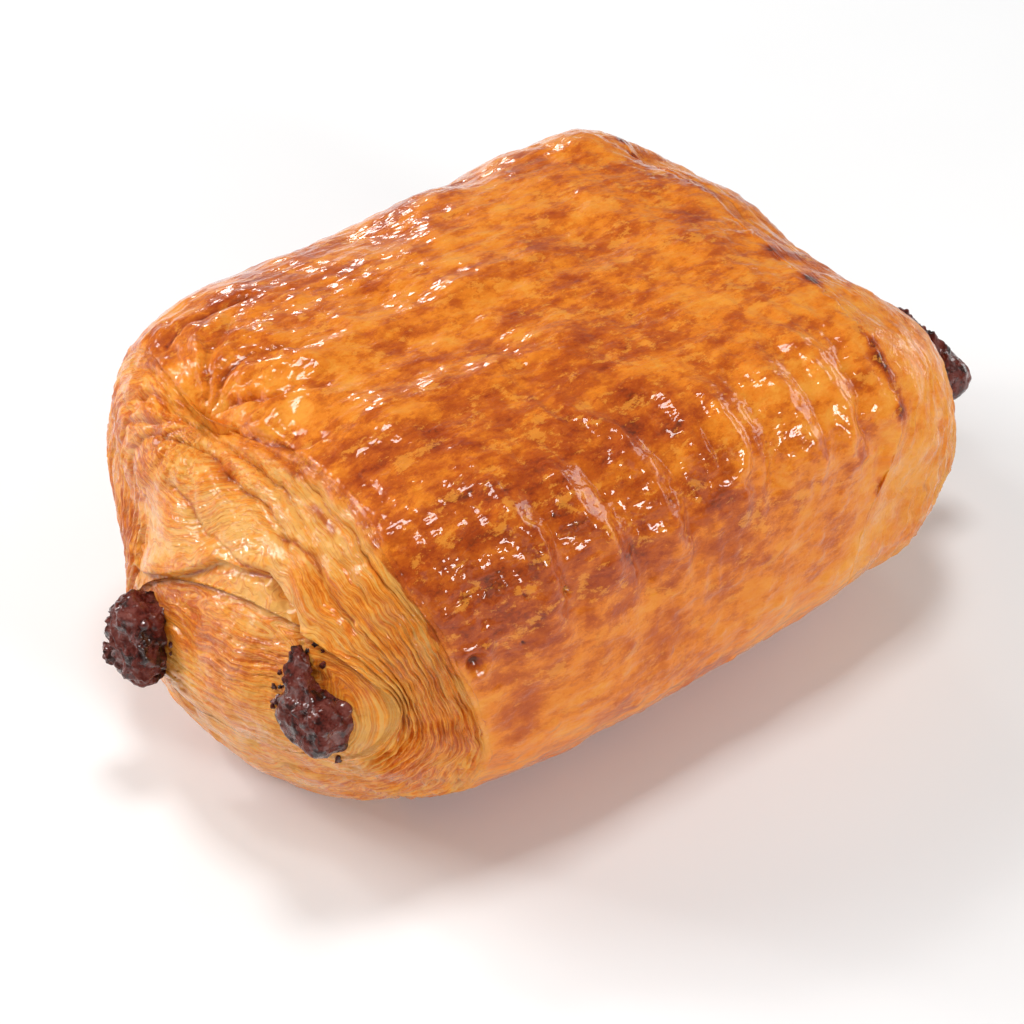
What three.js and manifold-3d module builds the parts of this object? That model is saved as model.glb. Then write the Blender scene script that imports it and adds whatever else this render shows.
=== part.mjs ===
// Pain au chocolat: a laminated dough sheet rolled round two bars of dark chocolate.
// +X runs along the roll, -Y is its front and +Z is up. Lengths are in millimetres.

import * as THREE from 'three';
import Module from 'manifold-3d';

const wasm = await Module();
wasm.setup();

// The baked roll
const LEFT_REACH = 52;            // from the middle to the tip of each domed end
const RIGHT_REACH = 50.6;
const HALF_WIDTH = 35.9;
const HEIGHT = 48.9;
const WAIST_Z = 19.8;             // height of the widest line
const SINK = 3.4;                 // how much of the round underside the tray has pressed flat
const WIDENING = 0.07;            // the roll is this share wider at its right end
const SLOPE = -0.08;              // and this share lower there
const TOP_SQUARENESS = 4.5;       // exponents of the cross-section above and below the waist
const UNDER_SQUARENESS = 1.84;
const END_BLUNTNESS = 5.95;       // exponents of the outline of the domed ends
const END_ROUNDING = 1.83;
const LEFT_FRONT_ROUNDING = 1.5;  // the ends are this much squarer at the front, beside the bar
const RIGHT_FRONT_ROUNDING = 0.9;
const END_DROP = -2;              // the middle of an end lies lower than the waist
const END_TWIST = 2.4;            // and the two ends lean opposite ways in Y

// The glazed top sheet, whose cut edges ring the two ends
const LEFT_EDGE_X = -38;
const RIGHT_EDGE_X = 36;
const EDGE_STEP = 0.3;

// The sheets at the ends crowd towards the core, and draw together at this girth angle.
const LAYER_CROWDING = 1.35;
const LEFT_GATHER = 2.2;
const RIGHT_GATHER = 0.9;
const GATHER_TURN = 75;

// The chocolate bars, which run from end to end
const BAR_GAP = 0.35;
const FRONT_BAR = {
  halfWidth: 4.2,
  halfHeight: 4.1,
  left: { x: -52.6, y: -23.2, z: 27.9 },
  right: { x: 54.4, y: -21.2, z: 23.4 },
};
const BACK_BAR = {
  halfWidth: 3.9,
  halfHeight: 4.6,
  left: { x: -56.2, y: 6, z: 21.3 },
  right: { x: 54.4, y: 6.8, z: 20.5 },
};

// How far the melted tips, left and right, swell along, across and up, as shares of the bar.
const TIP_BULGE = 0.7;
const FRONT_BAR_TIPS = [{ reach: 6.5, wide: 1.1, tall: 1.08 }, { reach: 6, wide: 0.84, tall: 0.85 }];
const BACK_BAR_TIPS = [{ reach: 5.5, wide: 1.02, tall: 1.38 }, { reach: 5, wide: 1.05, tall: 1 }];

// Chocolate that has oozed out beside the tips, as drops.
const FRONT_BAR_DROPS = [
  { at: [-50.6, -21.4, 31.6], size: [1.7, 2.9, 2.4] },
  { at: [-49.4, -20, 33.8], size: [1.4, 1.7, 2.1] },
  { at: [51.4, -20.4, 26.6], size: [1.7, 2.6, 2.6] },
  { at: [50, -19.8, 29], size: [1.4, 2.1, 2.1] },
  { at: [48.6, -19, 31], size: [1.3, 1.9, 1.9] },
  { at: [47.1, -18.2, 32.8], size: [1.3, 1.6, 1.6] },
];
const BACK_BAR_DROPS = [
  { at: [-55.4, 9.4, 18], size: [1.3, 1.8, 1.9] },
];

// Mesh density
const SIDES = 64;
const CRUST_RINGS = 27;
const LEFT_LAYERS = 11;
const RIGHT_LAYERS = 6;
const CORE_RINGS = 3;
const CORE_REACH = 6.6;           // the rolled core reaches this far past the middle of each bar
const CORE_RISE = 10.5;           // and this far above and below the line between them
const CORE_FALL = 9;

const TAU = Math.PI * 2;
// Girth angles run from 0 at the back over 90 degrees on top to 180 at the front.
const degrees = (angle) => angle * Math.PI / 180;
const mix = (a, b, t) => a + (b - a) * t;
const clamp = (value, low, high) => Math.min(Math.max(value, low), high);
const bell = (distance, width) => Math.exp(-((distance / width) ** 2));
const smooth = (t) => clamp(t, 0, 1) ** 2 * (3 - 2 * clamp(t, 0, 1));

// Seeded unevenness from a few sine waves, between about -1 and 1.
function uneven(x, y, z, wavelength, seed) {
  const k = TAU / wavelength;
  const a = Math.sin(k * (x + 0.31 * y) + seed * 1.7);
  const b = Math.sin(k * (0.83 * y - 0.4 * z) + seed * 2.9 + a);
  const c = Math.sin(k * (0.77 * z + 0.45 * x) + seed * 4.3 + b);
  return (a + b + c) / 3;
}

// Half width, height above the waist and depth below it of the full cross-section at x.
function sectionAt(x) {
  const along = clamp(x, LEFT_EDGE_X, RIGHT_EDGE_X) / LEFT_REACH;
  return {
    width: HALF_WIDTH * (1 + WIDENING * along),
    above: HEIGHT * (1 + SLOPE * along) - WAIST_Z,
    below: WAIST_Z + SINK,
  };
}

// The ends are rounded like this at a girth angle.
function roundingAt(side, angle) {
  const turn = (THREE.MathUtils.radToDeg(angle) + 360) % 360;
  const extra = side < 0 ? LEFT_FRONT_ROUNDING : RIGHT_FRONT_ROUNDING;
  return END_ROUNDING + extra * bell(turn - 166, 24);
}

const reachOf = (side) => (side < 0 ? LEFT_REACH : RIGHT_REACH);

// Fullness of the roll at x: 1 in the middle and 0 at the tips of the domed ends.
function fullness(x, angle) {
  const side = Math.sign(x) || 1;
  return (1 - Math.abs(x / reachOf(side)) ** END_BLUNTNESS) ** (1 / roundingAt(side, angle));
}

function centreAt(full, side) {
  return { y: -END_TWIST * side * (1 - full), z: WAIST_Z + END_DROP * (1 - full) };
}

// A point of the cross-section of the given fullness, at a girth angle.
function girthPoint(x, full, angle) {
  const { width, above, below } = sectionAt(x);
  const centre = centreAt(full, Math.sign(x));
  const power = Math.sin(angle) > 0 ? TOP_SQUARENESS : UNDER_SQUARENESS;
  const spread = Math.abs(Math.cos(angle)) ** power + Math.abs(Math.sin(angle)) ** power;
  const reach = full * spread ** (-1 / power);
  const rise = Math.sin(angle) > 0 ? above : below;
  return {
    y: centre.y + width * reach * Math.cos(angle),
    z: centre.z + rise * reach * Math.sin(angle),
  };
}

// Where the surface of a domed end lies in X over a point of its face.
function domeX(y, z, side, edgeX) {
  const { width, above, below } = sectionAt(edgeX);
  let full = 0.5;
  for (let pass = 0; pass < 6; pass += 1) {
    const centre = centreAt(full, side);
    const power = z > centre.z ? TOP_SQUARENESS : UNDER_SQUARENESS;
    const rise = z > centre.z ? above : below;
    const across = Math.abs((y - centre.y) / width) ** power;
    full = clamp((across + Math.abs((z - centre.z) / rise) ** power) ** (1 / power), 0, 1);
  }
  const angle = Math.atan2((z - WAIST_Z) / (z > WAIST_Z ? above : below), y / width);
  return side * reachOf(side) * (1 - full ** roundingAt(side, angle)) ** (1 / END_BLUNTNESS);
}

// The cut edge of the glazed sheet wanders a little round the girth.
function edgeX(side, angle) {
  const turn = THREE.MathUtils.radToDeg(angle);
  const underFront = smooth((turn - 142) / 40) * smooth((330 - turn) / 60);
  if (side < 0) {
    return LEFT_EDGE_X - 3 * bell(turn - 72, 15) - 1.8 * bell(turn - 134, 12) + 4.5 * underFront;
  }
  return RIGHT_EDGE_X - 6 * smooth((turn - 75) / 70) * smooth((360 - turn) / 60) - 8 * underFront;
}

// The rolled core, seen end-on, is a rounded tongue that holds both pieces of chocolate.
function corePoint(side, angle, share) {
  const front = side < 0 ? FRONT_BAR.left : FRONT_BAR.right;
  const back = side < 0 ? BACK_BAR.left : BACK_BAR.right;
  const along = ((back.y - front.y) / 2 + CORE_REACH) * Math.cos(angle);
  const tilt = (back.z - front.z) / (back.y - front.y);
  const rise = Math.sin(angle) > 0 ? CORE_RISE : CORE_FALL;
  return {
    y: (front.y + back.y) / 2 + share * along,
    z: (front.z + back.z) / 2 + share * (along * tilt + rise * Math.sin(angle)),
  };
}

// Wrinkles that run down the front shoulder: place in X, girth angles, height, slant in mm.
const SHOULDER_WRINKLES = [
  { x: -33, from: 138, to: 165, height: -0.8, slant: 2 },
  { x: -25.6, from: 128, to: 156, height: 1.2, slant: 1 },
  { x: -21.5, from: 132, to: 158, height: -0.9, slant: 0 },
  { x: -17.5, from: 128, to: 152, height: 1.1, slant: 1.5 },
  { x: -13, from: 130, to: 160, height: -1.1, slant: 2 },
  { x: -8.5, from: 122, to: 152, height: 1.3, slant: 2.5 },
  { x: -3.5, from: 134, to: 158, height: -0.9, slant: 1 },
  { x: 1, from: 124, to: 145, height: 0.8, slant: -1 },
  { x: 5, from: 126, to: 152, height: 1.2, slant: -2.5 },
  { x: 9.5, from: 128, to: 156, height: -1.1, slant: -1 },
  { x: 14, from: 124, to: 150, height: 1, slant: 1 },
  { x: 20.5, from: 122, to: 152, height: 1.1, slant: 1 },
  { x: 25.5, from: 126, to: 160, height: -0.9, slant: -1 },
];
const WRINKLE_WIDTH = 2;

// Long low swells along the top: place in Y, reach in X, height, width.
const TOP_SWELLS = [
  { y: 5.5, from: -31, to: 11, height: 0.9, width: 3.2 },
  { y: -9, from: -35, to: 2, height: 0.8, width: 3 },
  { y: -2, from: 2, to: 28, height: 0.5, width: 3 },
];

// Bumps and hollows of the crust and of the ends, each at a point of the surface.
const KNOBS = [
  { at: [32.5, 24.5, 44.5], height: 1.6, width: 5.5 },
  { at: [20.5, 26, 46], height: 0.5, width: 6 },
  { at: [6.5, 26, 47], height: 0.7, width: 5 },
  { at: [13.5, 27, 46.5], height: -0.8, width: 4 },
  { at: [36.5, 18, 44], height: -0.8, width: 3 },
  { at: [-41.5, 9, 46.8], height: -2.2, width: 4.5 },
  { at: [-50.8, -9, 24], height: 1.2, width: 7 },
  { at: [-48.4, -15, 32], height: -0.7, width: 4 },
  { at: [-46.5, -28.5, 25], height: 2.4, width: 6 },
  { at: [-48.5, 17, 31], height: -2.6, width: 9 },
  { at: [-12, -34, 10], height: 0.9, width: 18 },
  { at: [-6, 27, 47.5], height: -0.9, width: 12 },
  { at: [38, 6, 42], height: 0.9, width: 7 },
  { at: [46, -6, 38], height: -1.2, width: 12 },
  { at: [16.5, 32.5, 42], height: -0.9, width: 8 },
  { at: [43, -15, 38.5], height: -0.7, width: 6 },
  { at: [43, 3, 38.5], height: 0.7, width: 5 },
  { at: [42.5, -31, 22], height: 0.9, width: 7 },
  { at: [-42, 28, 30.5], height: 0.6, width: 5 },
  { at: [-45.2, 23.5, 16.5], height: -1.9, width: 6.5 },
  { at: [-41.5, -14.5, 4], height: 0.5, width: 5 },
  { at: [35, -33, 13], height: 0.7, width: 6 },
];

// Creases that fan out from the pinch over the left end, as points in Y and Z.
const CREASES = [
  { points: [[7, 46.6], [-1.4, 46.3], [-10.6, 46.6], [-21, 45]], depth: 0.8 },
  { points: [[7, 45], [-5.6, 43.9], [-16, 43.4], [-23.5, 39]], depth: 1.1 },
  { points: [[8, 39.6], [-2.6, 37.8], [-11, 39.4], [-18, 36.5]], depth: 1.1 },
  { points: [[12, 45.6], [20, 41], [24, 34]], depth: 0.9 },
];
const CREASE_WIDTH = 1.5;

// The free edge of the sheet that arches over the core at the left end, as points in Y and Z.
const FOLD = {
  arch: [[-21, 33], [-16.5, 37.6], [-11.4, 39.6], [-3.1, 36.7], [3.5, 31.3], [12, 25.9]],
  height: 0.9,
};

// Folds that run from the pinch into the crust: angle seen from above, length, height.
const PINCH = { x: -41.5, y: 9 };
const PINCH_FOLDS = [
  { angle: 20, length: 17, height: 0.9 },
  { angle: 52, length: 15, height: 0.9 },
  { angle: -14, length: 15, height: 0.8 },
  { angle: 80, length: 13, height: 0.7 },
];

function distanceToSegment(px, py, [ax, ay], [bx, by]) {
  const dx = bx - ax;
  const dy = by - ay;
  const t = clamp(((px - ax) * dx + (py - ay) * dy) / (dx * dx + dy * dy), 0, 1);
  return Math.hypot(px - ax - t * dx, py - ay - t * dy);
}

// Height of a line of points at y, and of its end beyond the end.
function heightOfLine(line, y) {
  for (let i = 1; i < line.length; i += 1) {
    const [[ay, az], [by, bz]] = [line[i - 1], line[i]];
    if (y <= by) {
      return mix(az, bz, clamp((y - ay) / (by - ay), 0, 1));
    }
  }
  return line.at(-1)[1];
}

// 1 between two limits, fading out over the given margin.
function within(value, low, high, margin) {
  return smooth((value - low) / margin + 0.5) * smooth((high - value) / margin + 0.5);
}

// Height of the crust above the smooth roll.
function crustRelief(point, angle) {
  const turn = THREE.MathUtils.radToDeg(angle);
  let height = 0.45 * uneven(point.x, point.y, point.z, 29, 1) + 0.2 * uneven(point.x, point.y, point.z, 13, 2);
  for (const wrinkle of SHOULDER_WRINKLES) {
    const slide = wrinkle.slant * (turn - wrinkle.from) / (wrinkle.to - wrinkle.from);
    const reach = within(turn, wrinkle.from, wrinkle.to, 12);
    height += wrinkle.height * reach * bell(point.x - wrinkle.x - slide, WRINKLE_WIDTH);
  }
  if (point.z > WAIST_Z) {
    for (const swell of TOP_SWELLS) {
      height += swell.height * within(point.x, swell.from, swell.to, 8) * bell(point.y - swell.y, swell.width);
    }
    for (const fold of PINCH_FOLDS) {
      const direction = [Math.cos(degrees(fold.angle)), Math.sin(degrees(fold.angle))];
      const end = [PINCH.x + direction[0] * fold.length, PINCH.y + direction[1] * fold.length];
      height += fold.height * bell(distanceToSegment(point.x, point.y, [PINCH.x, PINCH.y], end), 1.6);
    }
  }
  return height;
}

// Height of the stacked sheets at an end, where lift is 1 on the edge of a sheet and -1 between two.
function layerRelief(point, angle, lift, side) {
  const flank = 0.14 + 0.36 * Math.abs(Math.cos(angle)) ** 1.5;
  let height = lift * flank * (side < 0 ? 1 : 0.7) - 0.45;
  height += 0.3 * uneven(point.x, point.y, point.z, 17, 5 + side);
  if (side < 0) {
    for (const { points, depth } of CREASES) {
      const distances = points.slice(1).map((end, i) => distanceToSegment(point.y, point.z, points[i], end));
      height -= depth * bell(Math.min(...distances), CREASE_WIDTH);
    }
    const over = point.z - heightOfLine(FOLD.arch, point.y);
    height += FOLD.height * within(point.y, -21, 10, 6) * smooth((over + 0.6) / 1.2) * (1 - smooth(over / 7));
  }
  return height;
}

function knobRelief(point) {
  let height = 0;
  for (const knob of KNOBS) {
    height += knob.height * bell(point.distanceTo(new THREE.Vector3(...knob.at)), knob.width);
  }
  return height;
}

// A closed surface through rings of points, shut by a pole at each end.
function skin(rings, firstPole, lastPole) {
  const sides = rings[0].length;
  const points = [firstPole, ...rings.flat(), lastPole];
  const at = (ring, side) => 1 + ring * sides + (side % sides);
  const faces = [];
  for (let side = 0; side < sides; side += 1) {
    faces.push(0, at(0, side + 1), at(0, side));
    faces.push(points.length - 1, at(rings.length - 1, side), at(rings.length - 1, side + 1));
    for (let ring = 0; ring < rings.length - 1; ring += 1) {
      faces.push(at(ring, side), at(ring, side + 1), at(ring + 1, side));
      faces.push(at(ring, side + 1), at(ring + 1, side + 1), at(ring + 1, side));
    }
  }
  const geometry = new THREE.BufferGeometry().setFromPoints(points);
  geometry.setIndex(faces);
  return geometry;
}

function toSolid(geometry) {
  const mesh = new wasm.Mesh({
    numProp: 3,
    vertProperties: new Float32Array(geometry.getAttribute('position').array),
    triVerts: new Uint32Array(geometry.getIndex().array),
  });
  return new wasm.Manifold(mesh);
}

function toGeometry(solid) {
  const { vertProperties, triVerts } = solid.getMesh();
  const geometry = new THREE.BufferGeometry();
  geometry.setAttribute('position', new THREE.BufferAttribute(vertProperties, 3));
  geometry.setIndex(new THREE.BufferAttribute(triVerts, 1));
  geometry.computeVertexNormals();
  return geometry;
}

// Rings of one domed end, from its core out to the cut edge of the crust. The sheets between
// them, two rings each, draw together under the pinch.
function endRings(side, count) {
  const rings = [];
  for (let step = 1; step <= CORE_RINGS; step += 1) {
    rings.push({ layer: 0, core: step / (CORE_RINGS + 1), lift: 0 });
  }
  for (let step = 0; step < 2 * count; step += 1) {
    rings.push({ layer: (step / (2 * count)) ** LAYER_CROWDING, core: 1, lift: step % 2 ? 1 : -1 });
  }
  return rings.map(({ layer, core, lift }) => {
    const ring = [];
    for (let step = 0; step < SIDES; step += 1) {
      const angle = TAU * step / SIDES;
      const turn = THREE.MathUtils.radToDeg(angle);
      const gather = 1 + (side < 0 ? LEFT_GATHER : RIGHT_GATHER) * bell(turn - GATHER_TURN, 30);
      const spread = 1 - (1 - layer ** (1 / gather)) ** 1.35;
      const edge = edgeX(side, angle);
      const outer = girthPoint(edge, fullness(edge, angle), angle);
      const inner = corePoint(side, angle, core);
      const y = mix(inner.y, outer.y, spread);
      const z = mix(inner.z, outer.z, spread);
      const point = new THREE.Vector3(domeX(y, z, side, edge), y, z);
      ring.push({ point, angle, layer, core, lift, side });
    }
    return ring;
  });
}

// Rings of the crust between its two cut edges.
function crustRings() {
  const rings = [];
  for (let row = 0; row < CRUST_RINGS; row += 1) {
    const along = row / (CRUST_RINGS - 1);
    const ring = [];
    for (let step = 0; step < SIDES; step += 1) {
      const angle = TAU * step / SIDES;
      const x = mix(edgeX(-1, angle), edgeX(1, angle), along);
      const { y, z } = girthPoint(x, fullness(x, angle), angle);
      const rim = row === 0 || row === CRUST_RINGS - 1;
      ring.push({ point: new THREE.Vector3(x, y, z), angle, rim, crust: true });
    }
    rings.push(ring);
  }
  return rings;
}

function reliefAt({ point, angle, layer, core, lift, side, crust, rim }) {
  if (crust) {
    return crustRelief(point, angle) + knobRelief(point) - (rim ? 0.4 : 0.3);
  }
  const ledge = core < 1 ? 0.5 * (1 - core ** 4) : -EDGE_STEP * bell(layer, 0.03);
  return layerRelief(point, angle, lift, side) + knobRelief(point) + ledge;
}

// The whole roll: smooth form first, then its relief along the surface normals.
function rollGeometry() {
  const left = endRings(-1, LEFT_LAYERS);
  const right = endRings(1, RIGHT_LAYERS).reverse();
  const rings = [...left, ...crustRings(), ...right];
  const poles = [[-1, LEFT_EDGE_X], [1, RIGHT_EDGE_X]].map(([side, edge]) => {
    const { y, z } = corePoint(side, 0, 0);
    return { point: new THREE.Vector3(domeX(y, z, side, edge), y, z), angle: 0, layer: 0, core: 0, lift: 0, side };
  });
  const skinOf = (key) => skin(rings.map((ring) => ring.map((spot) => spot[key])), poles[0][key], poles[1][key]);
  const smoothRoll = skinOf('point');
  smoothRoll.computeVertexNormals();
  const normals = smoothRoll.getAttribute('normal');
  const normal = new THREE.Vector3();
  [poles[0], ...rings.flat(), poles[1]].forEach((spot, index) => {
    normal.fromBufferAttribute(normals, index);
    spot.raised = spot.point.clone().addScaledVector(normal, reliefAt(spot));
    spot.raised.z = spot.point.z <= 0 ? 0 : Math.max(spot.raised.z, 0);
  });
  return skinOf('raised');
}

// A bar of chocolate: an even bar inside the dough that ends in two melted, lumpy tips.
function barGeometry(bar, tips, grow, seed) {
  const sides = 14;
  const stations = [];
  const addTip = (end, { reach, wide, tall }, direction) => {
    for (const [share, size] of [[0, 0.62], [0.18, 0.94], [0.5, 1], [0.85, 0.9], [1.25, 0.5]]) {
      const bulge = smooth((1.5 - share) / 0.9);
      stations.push({
        x: end + direction * reach * share,
        width: size * mix(1, wide, bulge),
        height: size * mix(1, tall, bulge),
        rough: bulge,
      });
    }
  };
  addTip(bar.left.x, tips[0], 1);
  stations[4].width = 1;
  stations[4].height = 1;
  const rightFrom = stations.length;
  addTip(bar.right.x, tips[1], -1);
  stations[rightFrom + 4].width = 1;
  stations[rightFrom + 4].height = 1;
  const ordered = [...stations.slice(0, 5), ...stations.slice(5).reverse()];
  const rings = ordered.map((station) => {
    const ring = [];
    const along = (station.x - bar.left.x) / (bar.right.x - bar.left.x);
    const middle = { y: mix(bar.left.y, bar.right.y, along), z: mix(bar.left.z, bar.right.z, along) };
    for (let step = 0; step < sides; step += 1) {
      const angle = TAU * step / sides;
      const spread = Math.abs(Math.cos(angle)) ** 3 + Math.abs(Math.sin(angle)) ** 3;
      const lump = 1 + 0.09 * station.rough * uneven(station.x, angle * 3, 7 * Math.sin(angle), 5.3, seed);
      const reach = spread ** (-1 / 3) * lump;
      const y = middle.y + (bar.halfWidth * station.width * reach + grow) * Math.cos(angle);
      const z = middle.z + (bar.halfHeight * station.height * reach + grow) * Math.sin(angle);
      const outward = station.x < 0 ? -grow : grow;
      ring.push(new THREE.Vector3(station.x + outward, y, z));
    }
    return ring;
  });
  const pole = ({ x, y, z }, outward) => new THREE.Vector3(x + outward * (TIP_BULGE + grow), y, z);
  return skin(rings, pole(bar.left, -1), pole(bar.right, 1));
}

// Chocolate that has oozed up over the dough from a tip, as a few overlapping drops.
function addDrops(solid, drops, grow) {
  let joined = solid;
  for (const { at, size } of drops) {
    const drop = new THREE.SphereGeometry(1, 10, 7);
    drop.scale(size[0] + grow, size[1] + grow, size[2] + grow);
    drop.translate(...at);
    joined = joined.add(toSolid(weld(drop)));
  }
  return joined;
}

// Merge the doubled points of a sphere, so that it is one closed surface.
function weld(geometry) {
  const position = geometry.getAttribute('position');
  const index = geometry.getIndex();
  const seen = new Map();
  const points = [];
  const renumbered = [];
  for (let i = 0; i < position.count; i += 1) {
    const point = new THREE.Vector3().fromBufferAttribute(position, i);
    const key = point.toArray().map((value) => Math.round(value * 1e4)).join();
    if (!seen.has(key)) {
      seen.set(key, points.length);
      points.push(point);
    }
    renumbered.push(seen.get(key));
  }
  const faces = [];
  for (let i = 0; i < index.count; i += 3) {
    const [a, b, c] = [0, 1, 2].map((corner) => renumbered[index.getX(i + corner)]);
    if (a !== b && b !== c && c !== a) {
      faces.push(a, b, c);
    }
  }
  const welded = new THREE.BufferGeometry().setFromPoints(points);
  welded.setIndex(faces);
  return welded;
}

const frontBar = (grow) => addDrops(
  toSolid(barGeometry(FRONT_BAR, FRONT_BAR_TIPS, grow, 3)), FRONT_BAR_DROPS, grow);
const backBar = (grow) => addDrops(
  toSolid(barGeometry(BACK_BAR, BACK_BAR_TIPS, grow, 8)), BACK_BAR_DROPS, grow);

const pastrySolid = toSolid(rollGeometry()).subtract(frontBar(BAR_GAP)).subtract(backBar(BAR_GAP));

const crustFinish = new THREE.MeshStandardMaterial({ color: 0xd98a2b, roughness: 0.35, metalness: 0 });
const frontChocolateFinish = new THREE.MeshStandardMaterial({ color: 0x3a1c14, roughness: 0.45, metalness: 0 });
const backChocolateFinish = frontChocolateFinish.clone();

function namedMesh(name, solid, finish) {
  const mesh = new THREE.Mesh(toGeometry(solid), finish);
  mesh.name = name;
  return mesh;
}

const painAuChocolat = new THREE.Group();
painAuChocolat.name = 'pain_au_chocolat';
painAuChocolat.add(
  namedMesh('pastry', pastrySolid, crustFinish),
  namedMesh('chocolate_front', frontBar(0), frontChocolateFinish),
  namedMesh('chocolate_back', backBar(0), backChocolateFinish),
);

// The origin is the middle of the underside.
const box = new THREE.Box3().setFromObject(painAuChocolat);
const centre = box.getCenter(new THREE.Vector3());
painAuChocolat.position.set(-centre.x, -centre.y, -box.min.z);

export default painAuChocolat;
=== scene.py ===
"""Pain au chocolat: a glazed, laminated roll with two bars of dark chocolate, on a pale floor."""

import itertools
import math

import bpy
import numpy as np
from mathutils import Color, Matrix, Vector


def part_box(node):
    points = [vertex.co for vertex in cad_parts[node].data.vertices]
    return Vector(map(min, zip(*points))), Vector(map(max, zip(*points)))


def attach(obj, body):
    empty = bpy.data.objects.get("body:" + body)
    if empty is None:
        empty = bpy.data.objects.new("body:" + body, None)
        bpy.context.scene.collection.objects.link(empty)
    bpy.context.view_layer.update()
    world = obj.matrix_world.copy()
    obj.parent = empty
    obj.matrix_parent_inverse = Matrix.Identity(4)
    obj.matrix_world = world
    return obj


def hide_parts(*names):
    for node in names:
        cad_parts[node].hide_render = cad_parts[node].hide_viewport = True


bl_info = {
    "name": "Pain au Chocolat",
    "version": (1, 0, 0),
    "blender": (4, 5, 0),
    "location": "View3D > Sidebar > Bakery",
    "description": "Makes a baked pain au chocolat with its crust, layered ends and chocolate",
    "category": "Add Mesh",
}

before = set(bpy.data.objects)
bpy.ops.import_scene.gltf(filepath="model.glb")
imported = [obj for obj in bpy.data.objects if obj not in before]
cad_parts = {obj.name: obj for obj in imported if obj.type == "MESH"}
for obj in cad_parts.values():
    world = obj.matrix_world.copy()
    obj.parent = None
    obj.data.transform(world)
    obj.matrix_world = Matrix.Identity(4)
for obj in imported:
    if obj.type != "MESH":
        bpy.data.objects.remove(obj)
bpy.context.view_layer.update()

MM = 0.001

# Points and sizes below are in millimetres in the roll's own frame: +X along it, -Y its front,
# +Z up, with Z at 0 on the tray. Girth angles are in degrees, 0 at the back, 90 on top, 180 in
# front. A side is -1 at the left end and 1 at the right end.

# The dough is pinched together here, at the top of the left end, and at this girth angle.
PINCH = (-41.6, 9.5, 46.7)
PINCH_TURN = 75

# Wrinkles down the front shoulder: place in X, first and last girth angle, height, slant.
SHOULDER_WRINKLES = (
    (-33.0, 138, 165, -0.8, 2.0),
    (-25.6, 128, 156, 1.2, 1.0),
    (-21.5, 132, 158, -0.9, 0.0),
    (-17.5, 128, 152, 1.1, 1.5),
    (-13.0, 130, 160, -1.1, 2.0),
    (-8.5, 122, 152, 1.3, 2.5),
    (-3.5, 134, 158, -0.9, 1.0),
    (1.0, 124, 145, 0.8, -1.0),
    (5.0, 126, 152, 1.2, -2.5),
    (9.5, 128, 156, -1.1, -1.0),
    (14.0, 124, 150, 1.0, 1.0),
    (20.5, 122, 152, 1.1, 1.0),
    (25.5, 126, 160, -0.9, -1.0),
)

# Long low swells along the top: place in Y, first and last X, height, width.
TOP_SWELLS = (
    (5.5, -31, 11, 0.9, 3.2),
    (-9.0, -35, 2, 0.8, 3.0),
    (-2.0, 2, 28, 0.5, 3.0),
)

# Bumps and hollows: point, height, width.
KNOBS = (
    ((32.5, 24.5, 44.5), 1.6, 5.5),
    ((20.5, 26, 46), 0.5, 6),
    ((6.5, 26, 47), 0.7, 5),
    ((13.5, 27, 46.5), -0.8, 4),
    ((36.5, 18, 44), -0.8, 3),
    ((-41.5, 9, 46.8), -2.2, 4.5),
    ((-50.8, -9, 24), 1.2, 7),
    ((-48.4, -15, 32), -0.7, 4),
    ((-46.5, -28.5, 25), 2.4, 6),
    ((-48.5, 17, 31), -2.6, 9),
    ((-12, -34, 10), 0.9, 18),
    ((-6, 27, 47.5), -0.9, 12),
    ((38, 6, 42), 0.9, 7),
    ((46, -6, 38), -1.2, 12),
    ((16.5, 32.5, 42), -0.9, 8),
    ((43, -15, 38.5), -0.7, 6),
    ((43, 3, 38.5), 0.7, 5),
    ((42.5, -31, 22), 0.9, 7),
    ((-42, 28, 30.5), 0.6, 5),
    ((-45.2, 23.5, 16.5), -1.9, 6.5),
    ((-41.5, -14.5, 4), 0.5, 5),
    ((35, -33, 13), 0.7, 6),
)

# Creases that fan out from the pinch over the left end, as points in Y and Z, with their depth.
CREASES = (
    (((7, 46.6), (-1.4, 46.3), (-10.6, 46.6), (-21, 45)), 0.6),
    (((7, 45), (-5.6, 43.9), (-16, 43.4), (-23.5, 39)), 0.9),
    (((8, 39.6), (-2.6, 37.8), (-11, 39.4), (-18, 36.5)), 0.9),
    (((12, 45.6), (20, 41), (24, 34)), 0.8),
)

# The free edge of the sheet that arches over the core at the left end, as points in Y and Z.
FOLD = ((-21, 33), (-16.5, 37.6), (-11.4, 39.6), (-3.1, 36.7), (3.5, 31.3), (12, 25.9))

# Patches of the crust that baked darker or paler: point, width, change of browning.
BROWN_PATCHES = (
    ((-6, -13, 49), 17, 0.11),
    ((-14, -30, 44), 13, 0.17),
    ((14, 15, 47), 14, -0.07),
    ((-32, -26, 42), 13, 0.3),
    ((24, -31, 41), 12, -0.2),
    ((-20, 8, 50), 14, -0.12),
    (PINCH, 13, -0.26),
)

# Small burnt pits in the crust: point, radius.
PITS = (
    ((-34.2, -32.4, 33.3), 1.3),
    ((-22.0, -34.0, 37.9), 0.7),
    ((-5.9, -33.2, 41.9), 0.6),
    ((-20.8, -30.0, 45.9), 0.5),
    ((36.2, 8.1, 44.3), 0.9),
    ((34.7, -4.4, 44.9), 0.9),
    ((33.1, -13.2, 45.3), 0.8),
    ((31.9, -19.4, 45.3), 0.8),
    ((29.8, -33.2, 40.5), 0.6),
    ((-36.0, -31.0, 30.0), 0.5),
    ((-27.6, -32.6, 39.6), 0.5),
    ((-28.6, -34.2, 33.6), 0.4),
    ((-37.0, -32.4, 23.4), 0.5),
)

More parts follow.
